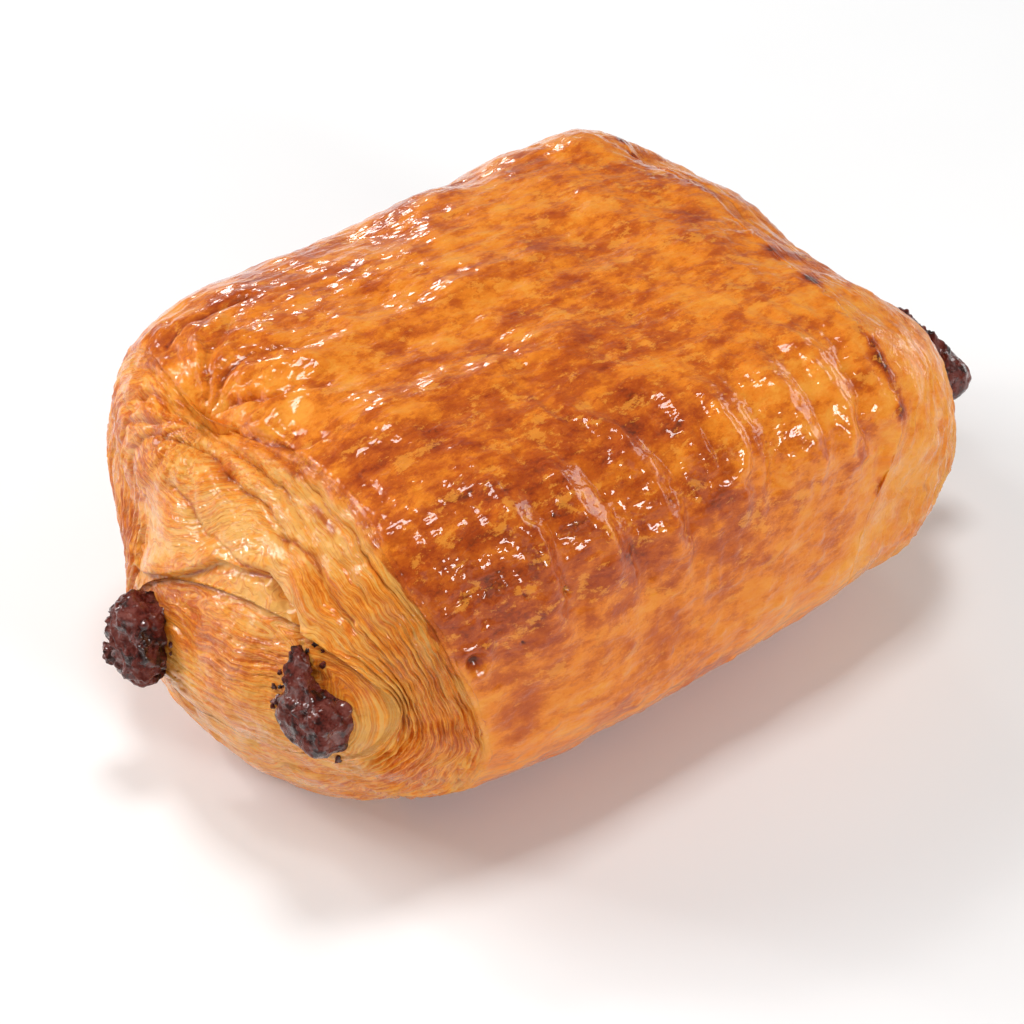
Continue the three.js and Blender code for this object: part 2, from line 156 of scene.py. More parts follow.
# A burnt slit in the crust beside the pinch, as points in X and Y.
SLIT = ((-37.0, 21.1), (-33.3, 21.6), (-25.0, 20.7))

# How far the rims of the crust roll in at its two cut edges. The ends reach under the crust by
# their tuck, and dip there from a little over it to a little under it.
CRUST_LIP = 0.25
TUCK_REACH = 2.0
TUCK_OVERLAP = 0.15
TUCK_DEPTH = 1.4

# Blisters under the glaze: how far apart they lie on average, and their height.
BLISTER_SPACING = 3.1
BLISTER_HEIGHT = 0.24

# How brown the crust, its underside and the stacked sheets are before any unevenness.
CRUST_BROWN = 0.32
UNDERSIDE_BROWN = 0.62
SHEET_BROWN = 0.37

# The middle of each end of the two bars, left then right, and how far the left tip of the back
# one, which is the furthest, bulges past it.
FRONT_BAR = ((-52.6, -23.2, 27.9), (54.4, -21.2, 23.4))
BACK_BAR = ((-56.2, 6, 21.3), (54.4, 6.8, 20.5))
TIP_BULGE = 0.7

# How far the melted tips, left and right, swell: length, then width and height as shares.
FRONT_BAR_TIPS = ((6.5, 1.1, 1.08), (6, 0.84, 0.85))
BACK_BAR_TIPS = ((5.5, 1.02, 1.38), (5, 1.05, 1))

# Outline of a tip: places as shares of its length, inwards, and the bar's size at each.
TIP_PLACES = (-0.1, 0, 0.18, 0.5, 0.85, 1.25)
TIP_SIZES = (0.5, 0.82, 0.96, 1.0, 0.92, 1.0)
BAR_SIDES = 28

# The chocolate is rough beyond this distance from the roll's middle, but for the undersides of
# the tips, which lie below these heights.
ROUGH_FROM = 44
FRONT_BAR_CALM_BELOW = 27
BACK_BAR_CALM_BELOW = 16

# Chocolate that has oozed out beside the tips, as drops: point, half sizes.
FRONT_BAR_DROPS = (
    ((-50.6, -21.4, 31.6), (1.7, 2.9, 2.4)),
    ((-49.4, -20, 33.8), (1.4, 1.7, 2.1)),
    ((51.4, -20.4, 26.6), (1.7, 2.6, 2.6)),
    ((50, -19.8, 29), (1.4, 2.1, 2.1)),
    ((48.6, -19, 31), (1.3, 1.9, 1.9)),
    ((47.1, -18.2, 32.8), (1.3, 1.6, 1.6)),
)
BACK_BAR_DROPS = (
    ((-55.4, 9.4, 18), (1.3, 1.8, 1.9)),
)

# Loose crumbs on the left end: point in Y and Z, spread in Y and Z, number.
CRUMBS = (
    ((-17.4, 28.4), (0.6, 1.2), 11),
    ((-20.5, 34.5), (0.9, 0.7), 7),
    ((-22.0, 22.7), (2.2, 0.35), 7),
    ((1.4, 22.5), (0.3, 1.2), 3),
)

# They are dropped onto the end along X, from a place well left of it.
WELL_LEFT = -90

# Softboxes: name, place and size in metres, share of the power, and which power it is.
SOFTBOXES = (
    ("overhead", (0.02, 0.0, 0.7), (0.15, 0.15), 1.12, "key_power"),
    ("front", (0.0, -0.62, 0.27), (0.14, 0.11), 1.05, "key_power"),
    ("back_left", (-0.35, 0.42, 0.43), (0.26, 0.26), 1.45, "key_power"),
    ("sparkle", (-0.22, 0.42, 0.5), (0.06, 0.06), 0.5, "fill_power"),
    ("sparkle_low", (-0.42, 0.48, 0.22), (0.06, 0.06), 0.7, "fill_power"),
    ("low_left", (-0.58, 0.42, 0.07), (0.3, 0.12), 0.25, "fill_power"),
    ("right", (0.66, -0.1, 0.18), (0.4, 0.25), 1.2, "fill_power"),
    ("back", (0.27, 0.55, 0.22), (0.08, 0.08), 0.35, "fill_power"),
    ("front_left", (-0.52, -0.5, 0.26), (0.5, 0.4), 0.65, "fill_power"),
)

# The floor's reach and where the camera looks in X, in metres.
FLOOR_REACH = 2.0
TARGET_X = -0.0017


def bell(distance, width):
    """1 at no distance, and near 0 beyond twice the width."""
    return np.exp(-((distance / width) ** 2))


def smooth(share):
    """An eased step from 0 to 1."""
    share = np.clip(share, 0, 1)
    return share * share * (3 - 2 * share)


def within(value, low, high, margin):
    """1 between two values and 0 outside them, with an eased margin."""
    return smooth((value - low) / margin + 0.5) * smooth((high - value) / margin + 0.5)


def mix(a, b, share):
    return a + (b - a) * share


def from_point(points, spot):
    return np.linalg.norm(points - np.array(spot, float), axis=-1)


def from_line(u, v, line):
    """Distance of (u, v) from a line through several points."""
    nearest = np.full(u.shape, np.inf)
    for (au, av), (bu, bv) in zip(line, line[1:]):
        du, dv = bu - au, bv - av
        share = np.clip(((u - au) * du + (v - av) * dv) / (du * du + dv * dv), 0, 1)
        nearest = np.minimum(nearest, np.hypot(u - au - share * du, v - av - share * dv))
    return nearest


def swell(points, wavelength, seed):
    """Slow unevenness from three sine waves, between about -1 and 1."""
    x, y, z = np.moveaxis(points, -1, 0)
    k = math.tau / wavelength
    a = np.sin(k * (x + 0.31 * y) + seed * 1.7)
    b = np.sin(k * (0.83 * y - 0.4 * z) + seed * 2.9 + a)
    c = np.sin(k * (0.77 * z + 0.45 * x) + seed * 4.3 + b)
    return (a + b + c) / 3


class Chance:
    """Seeded smooth unevenness and scattered spots, for what baking leaves to chance."""

    TABLE = 512
    GAIN = 1.7
    OCTAVE_SHIFT = 17.3

    def __init__(self, seed):
        draw = np.random.default_rng(seed)
        slopes = draw.normal(size=(self.TABLE, 3))
        self.slopes = slopes / np.linalg.norm(slopes, axis=1, keepdims=True)
        self.shares = draw.random((self.TABLE, 4))
        self.order = draw.permutation(self.TABLE)

    def _pick(self, cell):
        mask = self.TABLE - 1
        first = self.order[cell[..., 0] & mask]
        second = self.order[(first + cell[..., 1]) & mask]
        return self.order[(second + cell[..., 2]) & mask]

    def wave(self, points, size, octaves=1):
        """Smooth heights of about -1 to 1, with bumps about size across."""
        total = np.zeros(points.shape[:-1])
        strength = 1.0
        for octave in range(octaves):
            place = points / (np.array(size) / 2**octave) + self.OCTAVE_SHIFT * octave
            cell = np.floor(place).astype(np.int64)
            part = place - cell
            ease = part**3 * (part * (part * 6 - 15) + 10)
            for corner in itertools.product((0, 1), repeat=3):
                step = np.array(corner)
                share = np.prod(np.where(step == 1, ease, 1 - ease), axis=-1)
                slope = self.slopes[self._pick(cell + step)]
                total += strength * self.GAIN * share * np.sum(slope * (part - step), axis=-1)
            strength *= 0.5
        return total

    def spots(self, points, spacing):
        """Distance to the nearest scattered spot, and that spot's own random share."""
        cell = np.floor(points / spacing).astype(np.int64)
        nearest = np.full(points.shape[:-1], np.inf)
        own = np.zeros(points.shape[:-1])
        for offset in itertools.product((-1, 0, 1), repeat=3):
            neighbour = cell + np.array(offset)
            shares = self.shares[self._pick(neighbour)]
            distance = np.linalg.norm((neighbour + shares[..., :3]) * spacing - points, axis=-1)
            closer = distance < nearest
            nearest = np.where(closer, distance, nearest)
            own = np.where(closer, shares[..., 3], own)
        return nearest, own


class Roll:
    """The smooth form of the roll, in millimetres, from its settings."""

    LEFT_EDGE_X = -38.0
    RIGHT_EDGE_X = 36.0
    WIDENING = 0.07
    SLOPE = -0.08
    TOP_SQUARENESS = 4.5
    UNDER_SQUARENESS = 1.84
    END_BLUNTNESS = 5.95
    END_ROUNDING = 1.83
    FRONT_ROUNDING = {-1: 1.5, 1: 0.9}
    END_DROP = -2.0
    END_TWIST = 2.4
    CORE_REACH = 6.6
    CORE_RISE = 10.5
    CORE_FALL = 9.0

    def __init__(self, settings):
        self.reach = {-1: settings.left_reach / MM, 1: settings.right_reach / MM}
        self.half_width = settings.half_width / MM
        self.height = settings.height / MM
        self.waist = settings.waist_height / MM
        self.sink = settings.sink / MM

    def section_at(self, x):
        """Half width, rise above the waist and depth below it of the full cross-section."""
        along = np.clip(x, self.LEFT_EDGE_X, self.RIGHT_EDGE_X) / self.reach[-1]
        width = self.half_width * (1 + self.WIDENING * along)
        above = self.height * (1 + self.SLOPE * along) - self.waist
        return width, above, self.waist + self.sink

    def rounding_at(self, side, turn):
        """How round an end is at a girth angle: roundest at its front shoulder."""
        return self.END_ROUNDING + self.FRONT_ROUNDING[side] * bell(turn % 360 - 166, 24)

    def fullness(self, x, turn):
        """Share of the full cross-section that the roll has at a place along it."""
        full = np.empty(np.broadcast(x, turn).shape)
        for side in (-1, 1):
            here = (x * side >= 0) & np.ones(full.shape, bool)
            outline = 1 - np.abs(x / self.reach[side]) ** self.END_BLUNTNESS
            value = np.clip(outline, 0, 1) ** (1 / self.rounding_at(side, turn))
            full[here] = np.broadcast_to(value, full.shape)[here]
        return full

    def centre_at(self, full, side):
        """Middle of a cross-section in Y and Z, which shifts and drops towards the ends."""
        return -self.END_TWIST * side * (1 - full), self.waist + self.END_DROP * (1 - full)

    def girth_point(self, x, full, turn):
        """Y and Z of the cross-section of the given fullness at a girth angle."""
        angle = np.radians(turn)
        width, above, below = self.section_at(x)
        centre_y, centre_z = self.centre_at(full, np.sign(x))
        power = np.where(np.sin(angle) > 0, self.TOP_SQUARENESS, self.UNDER_SQUARENESS)
        spread = np.abs(np.cos(angle)) ** power + np.abs(np.sin(angle)) ** power
        reach = full * spread ** (-1 / power)
        rise = np.where(np.sin(angle) > 0, above, below)
        return centre_y + width * reach * np.cos(angle), centre_z + rise * reach * np.sin(angle)

    def dome_x(self, y, z, side, edge):
        """Where the surface of a domed end lies in X over a point of its face."""
        width, above, below = self.section_at(edge)
        full = np.full(y.shape, 0.5)
        for _ in range(6):
            centre_y, centre_z = self.centre_at(full, side)
            over = z > centre_z
            power = np.where(over, self.TOP_SQUARENESS, self.UNDER_SQUARENESS)
            rise = np.where(over, above, below)
            across = np.abs((y - centre_y) / width) ** power
            full = np.clip((across + np.abs((z - centre_z) / rise) ** power) ** (1 / power), 0, 1)
        lift = np.where(z > self.waist, above, below)
        turn = np.degrees(np.arctan2((z - self.waist) / lift, y / width))
        outline = np.clip(1 - full ** self.rounding_at(side, turn), 0, 1)
        return side * self.reach[side] * outline ** (1 / self.END_BLUNTNESS)

    def edge_x(self, side, turn):
        """The cut edge of the glazed sheet, which wanders a little round the girth."""
        under_front = smooth((turn - 142) / 40) * smooth((330 - turn) / 60)
        if side < 0:
            wander = -3 * bell(turn - 72, 15) - 1.8 * bell(turn - 134, 12)
            return self.LEFT_EDGE_X + wander + 4.5 * under_front
        back = smooth((turn - 75) / 70) * smooth((360 - turn) / 60)
        return self.RIGHT_EDGE_X - 6 * back - 8 * under_front

    def core_point(self, side, turn, share):
        """Y and Z on the rolled core, a rounded tongue that holds both pieces of chocolate."""
        angle = np.radians(turn)
        _, front_y, front_z = FRONT_BAR[side > 0]
        _, back_y, back_z = BACK_BAR[side > 0]
        along = ((back_y - front_y) / 2 + self.CORE_REACH) * np.cos(angle)
        tilt = (back_z - front_z) / (back_y - front_y)
        rise = np.where(np.sin(angle) > 0, self.CORE_RISE, self.CORE_FALL)
        y = (front_y + back_y) / 2 + share * along
        z = (front_z + back_z) / 2 + share * (along * tilt + rise * np.sin(angle))
        return y, z


def origin_shift():
    """From the roll's own frame to the packed one: the packed origin is mid-way along the whole."""
    left_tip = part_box("chocolate_back")[0].x / MM
    return np.array((left_tip - (BACK_BAR[0][0] - TIP_BULGE), 0, 0))


def surface_normals(grid):
    """Outward normals of a grid of rings, which closes on itself along its second axis."""
    along = np.gradient(grid, axis=0)
    around = np.roll(grid, -1, axis=1) - np.roll(grid, 1, axis=1)
    normal = np.cross(around, along)
    return normal / np.maximum(np.linalg.norm(normal, axis=-1, keepdims=True), 1e-9)


def make_object(name, vertices, faces, values=None):
    """A smooth mesh object from arrays in metres, with named values stored at its points."""
    mesh = bpy.data.meshes.new(name)
    mesh.from_pydata(vertices.tolist(), [], faces)
    mesh.validate()
    for title, value in (values or {}).items():
        kind, field = ("FLOAT", "value") if value.shape[-1] == 1 else ("FLOAT_VECTOR", "vector")
        attribute = mesh.attributes.new(title, kind, "POINT")
        attribute.data.foreach_set(field, np.ascontiguousarray(value, np.float32).ravel())
    mesh.shade_smooth()
    made = bpy.data.objects.new(name, mesh)
    bpy.context.scene.collection.objects.link(made)
    return made


def ring_faces(rings, sides):
    """Quads between rings of points, facing out, with a fan round a pole at each end."""
    row = np.arange(rings - 1)[:, None] * sides
    column = np.arange(sides)[None, :]
    after = (column + 1) % sides
    quads = np.stack((row + column, row + after, row + sides + after, row + sides + column), -1)
    faces = quads.reshape(-1, 4).tolist()
    first_pole, last_pole, last = rings * sides, rings * sides + 1, (rings - 1) * sides
    faces += [(first_pole, (side + 1) % sides, side) for side in range(sides)]
    faces += [(last_pole, last + side, last + (side + 1) % sides) for side in range(sides)]
    return faces


def closed_rings(grid):
    """Points and faces of a grid of rings, shut by a pole in the middle of each end."""
    poles = np.stack((grid[0].mean(0), grid[-1].mean(0)))
    return np.concatenate((grid.reshape(-1, 3), poles)), ring_faces(*grid.shape[:2])


def ring_object(name, grid, values):
    """A closed object from a grid of rings in the roll's own frame, with values at its points."""
    points, faces = closed_rings(grid)
    stored = {}
    for title, value in values.items():
        at_poles = np.stack((value[0].mean(0), value[-1].mean(0))).reshape(2, -1)
        at_rings = value.reshape(len(points) - 2, -1)
        stored[title] = np.concatenate((at_rings, at_poles))
    return make_object(name, (points + origin_shift()) * MM, faces, stored)


def joined(parts):
    """One set of points and faces from several."""
    starts = itertools.accumulate((len(points) for points, _ in parts), initial=0)
    faces = [tuple(start + corner for corner in face)
             for start, (_, part_faces) in zip(starts, parts) for face in part_faces]
    return np.concatenate([points for points, _ in parts]), faces


def above_tray(grid):
    """The points of a grid with those under the tray lifted onto it."""
    lifted = grid.copy()
    lifted[..., 2] = np.maximum(lifted[..., 2], 0)
    return lifted


def knob_relief(points):
    """Height of the listed bumps and hollows."""
    height = np.zeros(points.shape[:-1])
    for spot, rise, width in KNOBS:
        height += rise * bell(from_point(points, spot), width)
    return height


def pinch_folds(points, chance):
    """Folds that run out from the pinch into the crust and the end."""
    east = points[..., 0] - PINCH[0]
    north = points[..., 1] - PINCH[1]
    away = np.hypot(east, north)
    bearing = np.arctan2(north, east) + 0.3 * chance.wave(points, 6, 2)
    folds = np.abs(np.sin(bearing * 5.5)) ** 0.7 * 2 - 1
    fine = np.abs(np.sin(bearing * 12 + 1)) ** 0.8 * 2 - 1
    level = smooth((points[..., 2] - 38) / 6)
    strength = smooth(0.75 + 0.8 * chance.wave(points + 5, 5, 2))
    return level * strength * (0.8 * folds * bell(away - 8, 8) + 0.5 * fine * bell(away - 6, 6.5))


def body_relief(points, chance):
    """Unevenness that the crust and the ends share, so that they meet evenly."""
    height = 0.45 * swell(points, 29, 1) + 0.2 * swell(points, 13, 2) - 0.35
    return height + knob_relief(points) + 0.25 * chance.wave(points, 7, 3)


def crust_relief(points, turn, chance):
    """Height of the baked crust over the smooth roll."""
    x, y, z = np.moveaxis(points, -1, 0)
    height = body_relief(points, chance)
    slide_noise = 1.3 * chance.wave(points, 6, 3)
    for place, low, high, rise, slant in SHOULDER_WRINKLES:
        slide = slant * (turn - low) / (high - low)
        reach = within(turn, low, high, 12)
        height += 0.8 * rise * reach * bell(x - place - slide + slide_noise, 1.6)
    top = smooth((z - 30) / 8)
    for place, low, high, rise, width in TOP_SWELLS:
        height += top * rise * within(x, low, high, 8) * bell(y - place + slide_noise, width)
    shoulder = within(turn, 112, 165, 26)
    girthwise = chance.wave(points, (2.6, 9, 9), 2)
    height += 0.5 * shoulder * (0.5 - np.abs(girthwise)) * smooth(chance.wave(points, 16) + 0.6)
    height += pinch_folds(points, chance)
    strokes = chance.wave(points + 21, (11, 2.2, 3.2), 3)
    height += 0.26 * top * (0.35 - np.abs(strokes)) * smooth(0.6 + chance.wave(points, 13))
    height += (0.06 + 0.1 * smooth((x - 16) / 16)) * chance.wave(points, 1.6, 2)
    return height


def blister_relief(points, chance, wanted):
    """Small blisters under the glaze, where wanted is above 0."""
    near, own = chance.spots(points, BLISTER_SPACING)
    size = 0.45 + 0.75 * own
    dome = BLISTER_HEIGHT * np.clip(1 - (near / size) ** 2, 0, 1) ** 0.7
    return wanted * np.where(own > 0.35, dome, 0)


def pit_relief(points):
    """Burnt pits: a raised ring round a hole. Returns the height and how burnt it is."""
    height = np.zeros(points.shape[:-1])
    burnt = np.zeros(points.shape[:-1])
    for spot, radius in PITS:
        nearest = points.reshape(-1, 3)[np.argmin(from_point(points, spot))]
        away = from_point(points, nearest)
        height += 0.28 * radius * bell(away - 1.5 * radius, 0.5 * radius)
        height -= 0.9 * radius * bell(away, 0.8 * radius)
        burnt = np.maximum(burnt, bell(away, 1.15 * radius))
    return height, burnt


def crust_browning_and_shade(points, turn, chance, roll):
    """How brown the crust is, from 0 for pale gold to 1 for burnt, with painted shade in the
    hollows of the pinch folds.
    """
    x, z = points[..., 0], points[..., 2]
    top = smooth((z - 12) / 22)
    brown_and_shade = CRUST_BROWN + 0.1 * top
    for spot, width, change in BROWN_PATCHES:
        brown_and_shade += change * bell(from_point(points, spot), width)
    # Painted shade: darker in the hollows of the pinch folds.
    brown_and_shade += 0.45 * np.clip(-pinch_folds(points, chance), 0, 1)
    brown_and_shade += 0.17 * chance.wave(points, (15, 11, 11), 3)
    brown_and_shade += 0.13 * chance.wave(points + 40, (6.5, 4, 4), 2)
    left = x - roll.edge_x(-1, turn)
    right = roll.edge_x(1, turn) - x
    brown_and_shade -= 0.2 * smooth((7 - right) / 9) * smooth((turn - 100) / 40)
    brown_and_shade -= 0.22 * bell(left, 1.2) * smooth((turn - 125) / 30)
    brown_and_shade += 0.6 * bell(right - 0.5, 1.1) * top * smooth(1.6 * chance.wave(points, 4, 2) - 0.1)
    underside = smooth((7 - z) / 5)
    return mix(brown_and_shade, UNDERSIDE_BROWN + 0.1 * chance.wave(points, 9, 2), underside)


def crust_mottle(points):
    """How strongly the crust is clouded: least low down, where the heat reached it evenly."""
    return mix(0.7, 1, smooth((points[..., 2] - 24) / 14))


def crust_grid(roll, rows, sides):
    """Rings of points from the left cut edge of the crust to the right one, with rolled-in rims."""
    turn = np.arange(sides) * 360 / sides
    rim_rows = 3
    share = np.linspace(0, 1, rows)
    left, right = roll.edge_x(-1, turn), roll.edge_x(1, turn)
    x = mix(left[None, :], right[None, :], share[:, None])
    turns = np.broadcast_to(turn, x.shape)
    y, z = roll.girth_point(x, roll.fullness(x, turns), turns)
    grid = np.stack((x, y, z), -1)
    tuck = np.zeros(x.shape)
    curl = np.linspace(0, 1, rim_rows)
    tuck[:rim_rows] = ((1 - curl) ** 2)[:, None] * (CRUST_LIP + 0.4 * within(turn, 118, 250, 20))
    tuck[-rim_rows:] = (curl**2)[:, None] * CRUST_LIP
    return grid, turns, tuck


def end_grid(roll, side, core_rows, layer_rows, sides, tuck_rows=6):
    """Rings of one domed end, from the middle of its core out to just under the crust."""
    turn = np.arange(sides) * 360 / sides
    core = np.concatenate((np.linspace(0.02, 1, core_rows), np.ones(layer_rows + tuck_rows)))
    spread_rows = np.linspace(0, 1, layer_rows)
    layer = np.concatenate((np.zeros(core_rows), spread_rows**1.15, np.ones(tuck_rows)))
    under = np.concatenate((np.zeros(core_rows + layer_rows), np.linspace(0.15, 1, tuck_rows)))
    shape = (len(core), sides)
    turns = np.broadcast_to(turn, shape)
    core, layer, under = (np.broadcast_to(a[:, None], shape) for a in (core, layer, under))
    near_pinch = bell(turns - PINCH_TURN, 30)
    # The sheets draw together towards the pinch, and the rows of points follow them in part.
    gather = 1 + (2.6 if side < 0 else 1.2) * near_pinch
    spacing = 1 + 0.5 * near_pinch
    outward = 1 - (1 - layer ** (1 / spacing)) ** 1.35
    layer = layer ** (gather / spacing)
    edge = roll.edge_x(side, turns)
    outer_y, outer_z = roll.girth_point(edge, roll.fullness(edge, turns), turns)
    inner_y, inner_z = roll.core_point(side, turns, core)
    y = mix(inner_y, outer_y, outward)
    z = mix(inner_z, outer_z, outward)
    x = roll.dome_x(y, z, side, edge)
    tucked = edge - side * TUCK_REACH * under
    tucked_full = roll.fullness(tucked, turns) - 0.05 * under**3
    tucked_y, tucked_z = roll.girth_point(tucked, tucked_full, turns)
    hidden = under > 0
    grid = np.stack((np.where(hidden, tucked, x), np.where(hidden, tucked_y, y),
                     np.where(hidden, tucked_z, z)), -1)
    return grid, turns, core, layer, under


def sheet_relief(points, turn, layer, side, count, depth, chance):
    """Stacked sheets of dough at an end: their height, how deep each groove is, which sets the
    toffee colour and painted shade of the grooves, and a tint.
    """
    flank = smooth(1.6 * np.abs(np.cos(np.radians(turn))) ** 2.4 - 0.3)
    place = layer * count + 0.9 * chance.wave(points, (17, 13, 13), 2)
    place += 0.5 * chance.wave(points + 9, (6, 4, 4), 3)
    index = np.floor(place)
    share = place - index
    # Each sheet has a share of its own, from 0 to 1, and opens and closes along its length.
    own = 0.5 + 0.5 * np.sin(index * 12.9898 + 4.1 * side)
    along = chance.wave(np.stack((index * 5.37, turn / 11, 0 * turn), -1), 1.0, 2)
    open_share = smooth(0.5 + 1.3 * along)
    narrow = mix(0.23, 0.18, within(turn, 135, 215, 30))
    thin = (1 - bell(share - 0.5, narrow)) * (0.35 + 0.65 * open_share) * (0.45 + 0.55 * own)
    # Away from the flanks the sheets lie in bundles, with a groove between two of them.
    bundle = place / 3.4 + 0.25 * chance.wave(points + 31, 9, 2)
    from_middle = np.abs(2 * (bundle % 1) - 1)
    deep = smooth(0.75 + chance.wave(points + 3, 9, 2))
    # The grooves get a darker colour: the toffee of the baked sheets, and painted shade in the
    # gaps.
    groove = mix(deep * from_middle**8, thin, flank) * smooth(layer * count)
    hollow = mix(1.15 * deep * from_middle**3, thin, flank) * smooth(layer * count)
    fine = np.abs(2 * ((place * 2.7 + own) % 1) - 1)
    strength = depth * mix(0.85, 1.1, flank)
    height = -strength * hollow + 0.45 * depth * (own - 0.5) * mix(0.2, 1, flank)
    height += mix(0.05, 0.12, flank) * (fine - 0.5)
    return height, groove, mix(0.6 + 0.2 * own, own, flank), place


def core_relief(points, turn, core, roll, chance):
    """Sheets of the rolled core, which run along its tongue: height, groove (toffee colour and
    painted shade of the lines) and place across.
    """
    straight = core * np.sin(np.radians(turn)) * roll.CORE_RISE
    around = smooth((core - 0.76) / 0.14) * (0.2 + 0.8 * bell((turn - 180) / 65, 1))
    across = mix(straight, 30 * (core - 0.83), around)
    place = across / 1.5 + 0.55 * chance.wave(points, (9, 8, 6), 3)
    line = np.abs(2 * (place % 1) - 1) ** 5
    line *= smooth(0.55 + chance.wave(points + 13, (9, 7, 3), 2))
    return -0.4 * line, 0.85 * line, place


def left_folds(points, groove, chance):
    """Creases below the pinch and the fold that arches over the core: height, and groove depth,
    which sets their toffee colour and painted shade.
    """
    y, z = points[..., 1], points[..., 2]
    height = np.zeros(y.shape)
    wobble = 0.8 * chance.wave(points, 6, 3)
    broken = smooth(0.7 + 1.2 * chance.wave(points + 7, 5, 2))
    for line, drop in CREASES:
        away = from_line(y, z + wobble, line)
        height -= 0.4 * drop * (bell(away, 1.3) + bell(away, 0.35))
        # Along each crease the colour darkens: toffee and painted shade.
        dark = np.maximum(0.66 * bell(away, 1.1), bell(away, 0.4))
        groove = np.maximum(groove, broken * dark)
    # The sheet that arches over the core stands proud above its free edge and shades it below,
    # where a painted shadow also darkens the colour.
    fold_y, fold_z = np.array(FOLD, float).T
    over = z + 0.5 * wobble - np.interp(y, fold_y, fold_z)
    near_fold = within(y, -21, 10, 6)
    height += 0.9 * near_fold * smooth((over + 0.4) / 0.7) * (1 - smooth(over / 7))
    height -= 0.5 * near_fold * bell(over + 0.7, 0.6)
    return height, np.maximum(groove, near_fold * broken * bell(over + 0.6, 0.5))


def end_grain(points, turn, in_core, place, core_place, side):
    """Coordinates for the streaks of an end, which follow the sheets, the core or the pinch."""
    y, z = points[..., 1], points[..., 2]
    angle = np.radians(turn)
    sheet_grain = np.stack((5 * np.cos(angle), 5 * np.sin(angle), 3.2 * place), -1)
    core_grain = np.stack((y / 5, 20 + 0 * y, 3.6 * core_place), -1)
    grain = np.where(in_core[..., None], core_grain, sheet_grain)
    if side > 0:
        return grain
    down, north = PINCH[2] - z, y - PINCH[1]
    away = np.hypot(down, north)
    pinch_grain = np.stack((away / 5, 6 * np.arctan2(north, down), 30 + 0 * away), -1)
    return mix(grain, pinch_grain, bell(away, 12)[..., None])


def end_relief(points, turn, core, layer, side, roll, settings, chance):
    """Height, groove depth (which sets the toffee colour and painted shade of the grooves), tint
    and grain of a whole end over the smooth roll.
    """
    count = settings.left_sheets if side < 0 else settings.right_sheets
    depth = settings.sheet_depth / MM * (1 if side < 0 else 0.55)
    height, groove, tint, place = sheet_relief(points, turn, layer, side, count, depth, chance)
    core_height, core_tone_and_shade, core_place = core_relief(points, turn, core, roll, chance)
    in_core = core < 1
    inset = 1 - smooth((layer - 0.93) / 0.07)
    height = height * (0.35 + 0.65 * inset) - 0.06 - 0.15 * inset
    height = np.where(in_core, core_height - 0.2, height)
    groove = np.where(in_core, core_tone_and_shade, groove)
    height += (0.1 if side < 0 else 0.24) * chance.wave(points, 2.4, 3)
    if side < 0:
        folds, groove = left_folds(points, groove, chance)
        height += folds
    above_core = within(turn, 20, 165, 40)
    rim_of_core = bell((1 - core) * 10, 0.8) * above_core
    height += np.where(in_core, 0.9 * (1 - core**4) - 0.5 * rim_of_core, 0)
    height += np.where(in_core, 0, 0.35 * above_core * bell(layer * 30, 1.3))
    # A painted shadow darkens the colour round the rim of the core.
    groove = np.maximum(groove, np.where(in_core, 0.9 * rim_of_core, 0))
    return height, groove, tint, end_grain(points, turn, in_core, place, core_place, side)


def crust_share(points, turn, edge, side, chance):
    """How far glaze and browning run on from the crust over an end, from 1 at the cut edge."""
    away = np.linalg.norm(points - edge, axis=-1) + 0.9 * chance.wave(points, 5, 3)
    if side > 0:
        return 1 - 0.65 * smooth(away / 22)
    reach = 0.7 + 3.2 * bell(turn - 84, 32)
    return 1 - smooth(away / reach - 0.2)


def seat_on_tray(points, smooth_points):
    """Flatten what the tray pressed, and let nothing reach below it."""
    seated = points.copy()
    seated[..., 2] = np.where(smooth_points[..., 2] <= 0, 0, np.maximum(points[..., 2], 0))
    return seated


def crust_object(roll, settings):
    """The glazed crust between its two cut edges."""
    chance = Chance(settings.seed)
    grid, turns, tuck = crust_grid(roll, settings.crust_rows, settings.crust_sides)
    flat = above_tray(grid)
    lower_front = within(turns, 135, 200, 30)
    height = crust_relief(flat, turns, chance)
    height += blister_relief(flat, chance, 0.35 + 0.65 * lower_front)
    pits, burnt = pit_relief(flat)
    slit = bell(from_line(flat[..., 0], flat[..., 1], SLIT), 0.7) * smooth((flat[..., 2] - 40) / 4)
    height += pits - 0.8 * slit - tuck
    brown_and_shade = crust_browning_and_shade(flat, turns, chance, roll)
    values = {
        "browning": np.maximum(brown_and_shade, np.maximum(burnt, 0.9 * slit)),
        "gloss": smooth((flat[..., 2] - 6) / 12),
        "mottle": crust_mottle(flat),
    }
    raised = seat_on_tray(grid + height[..., None] * surface_normals(grid), grid)
    return ring_object("crust", raised, values)


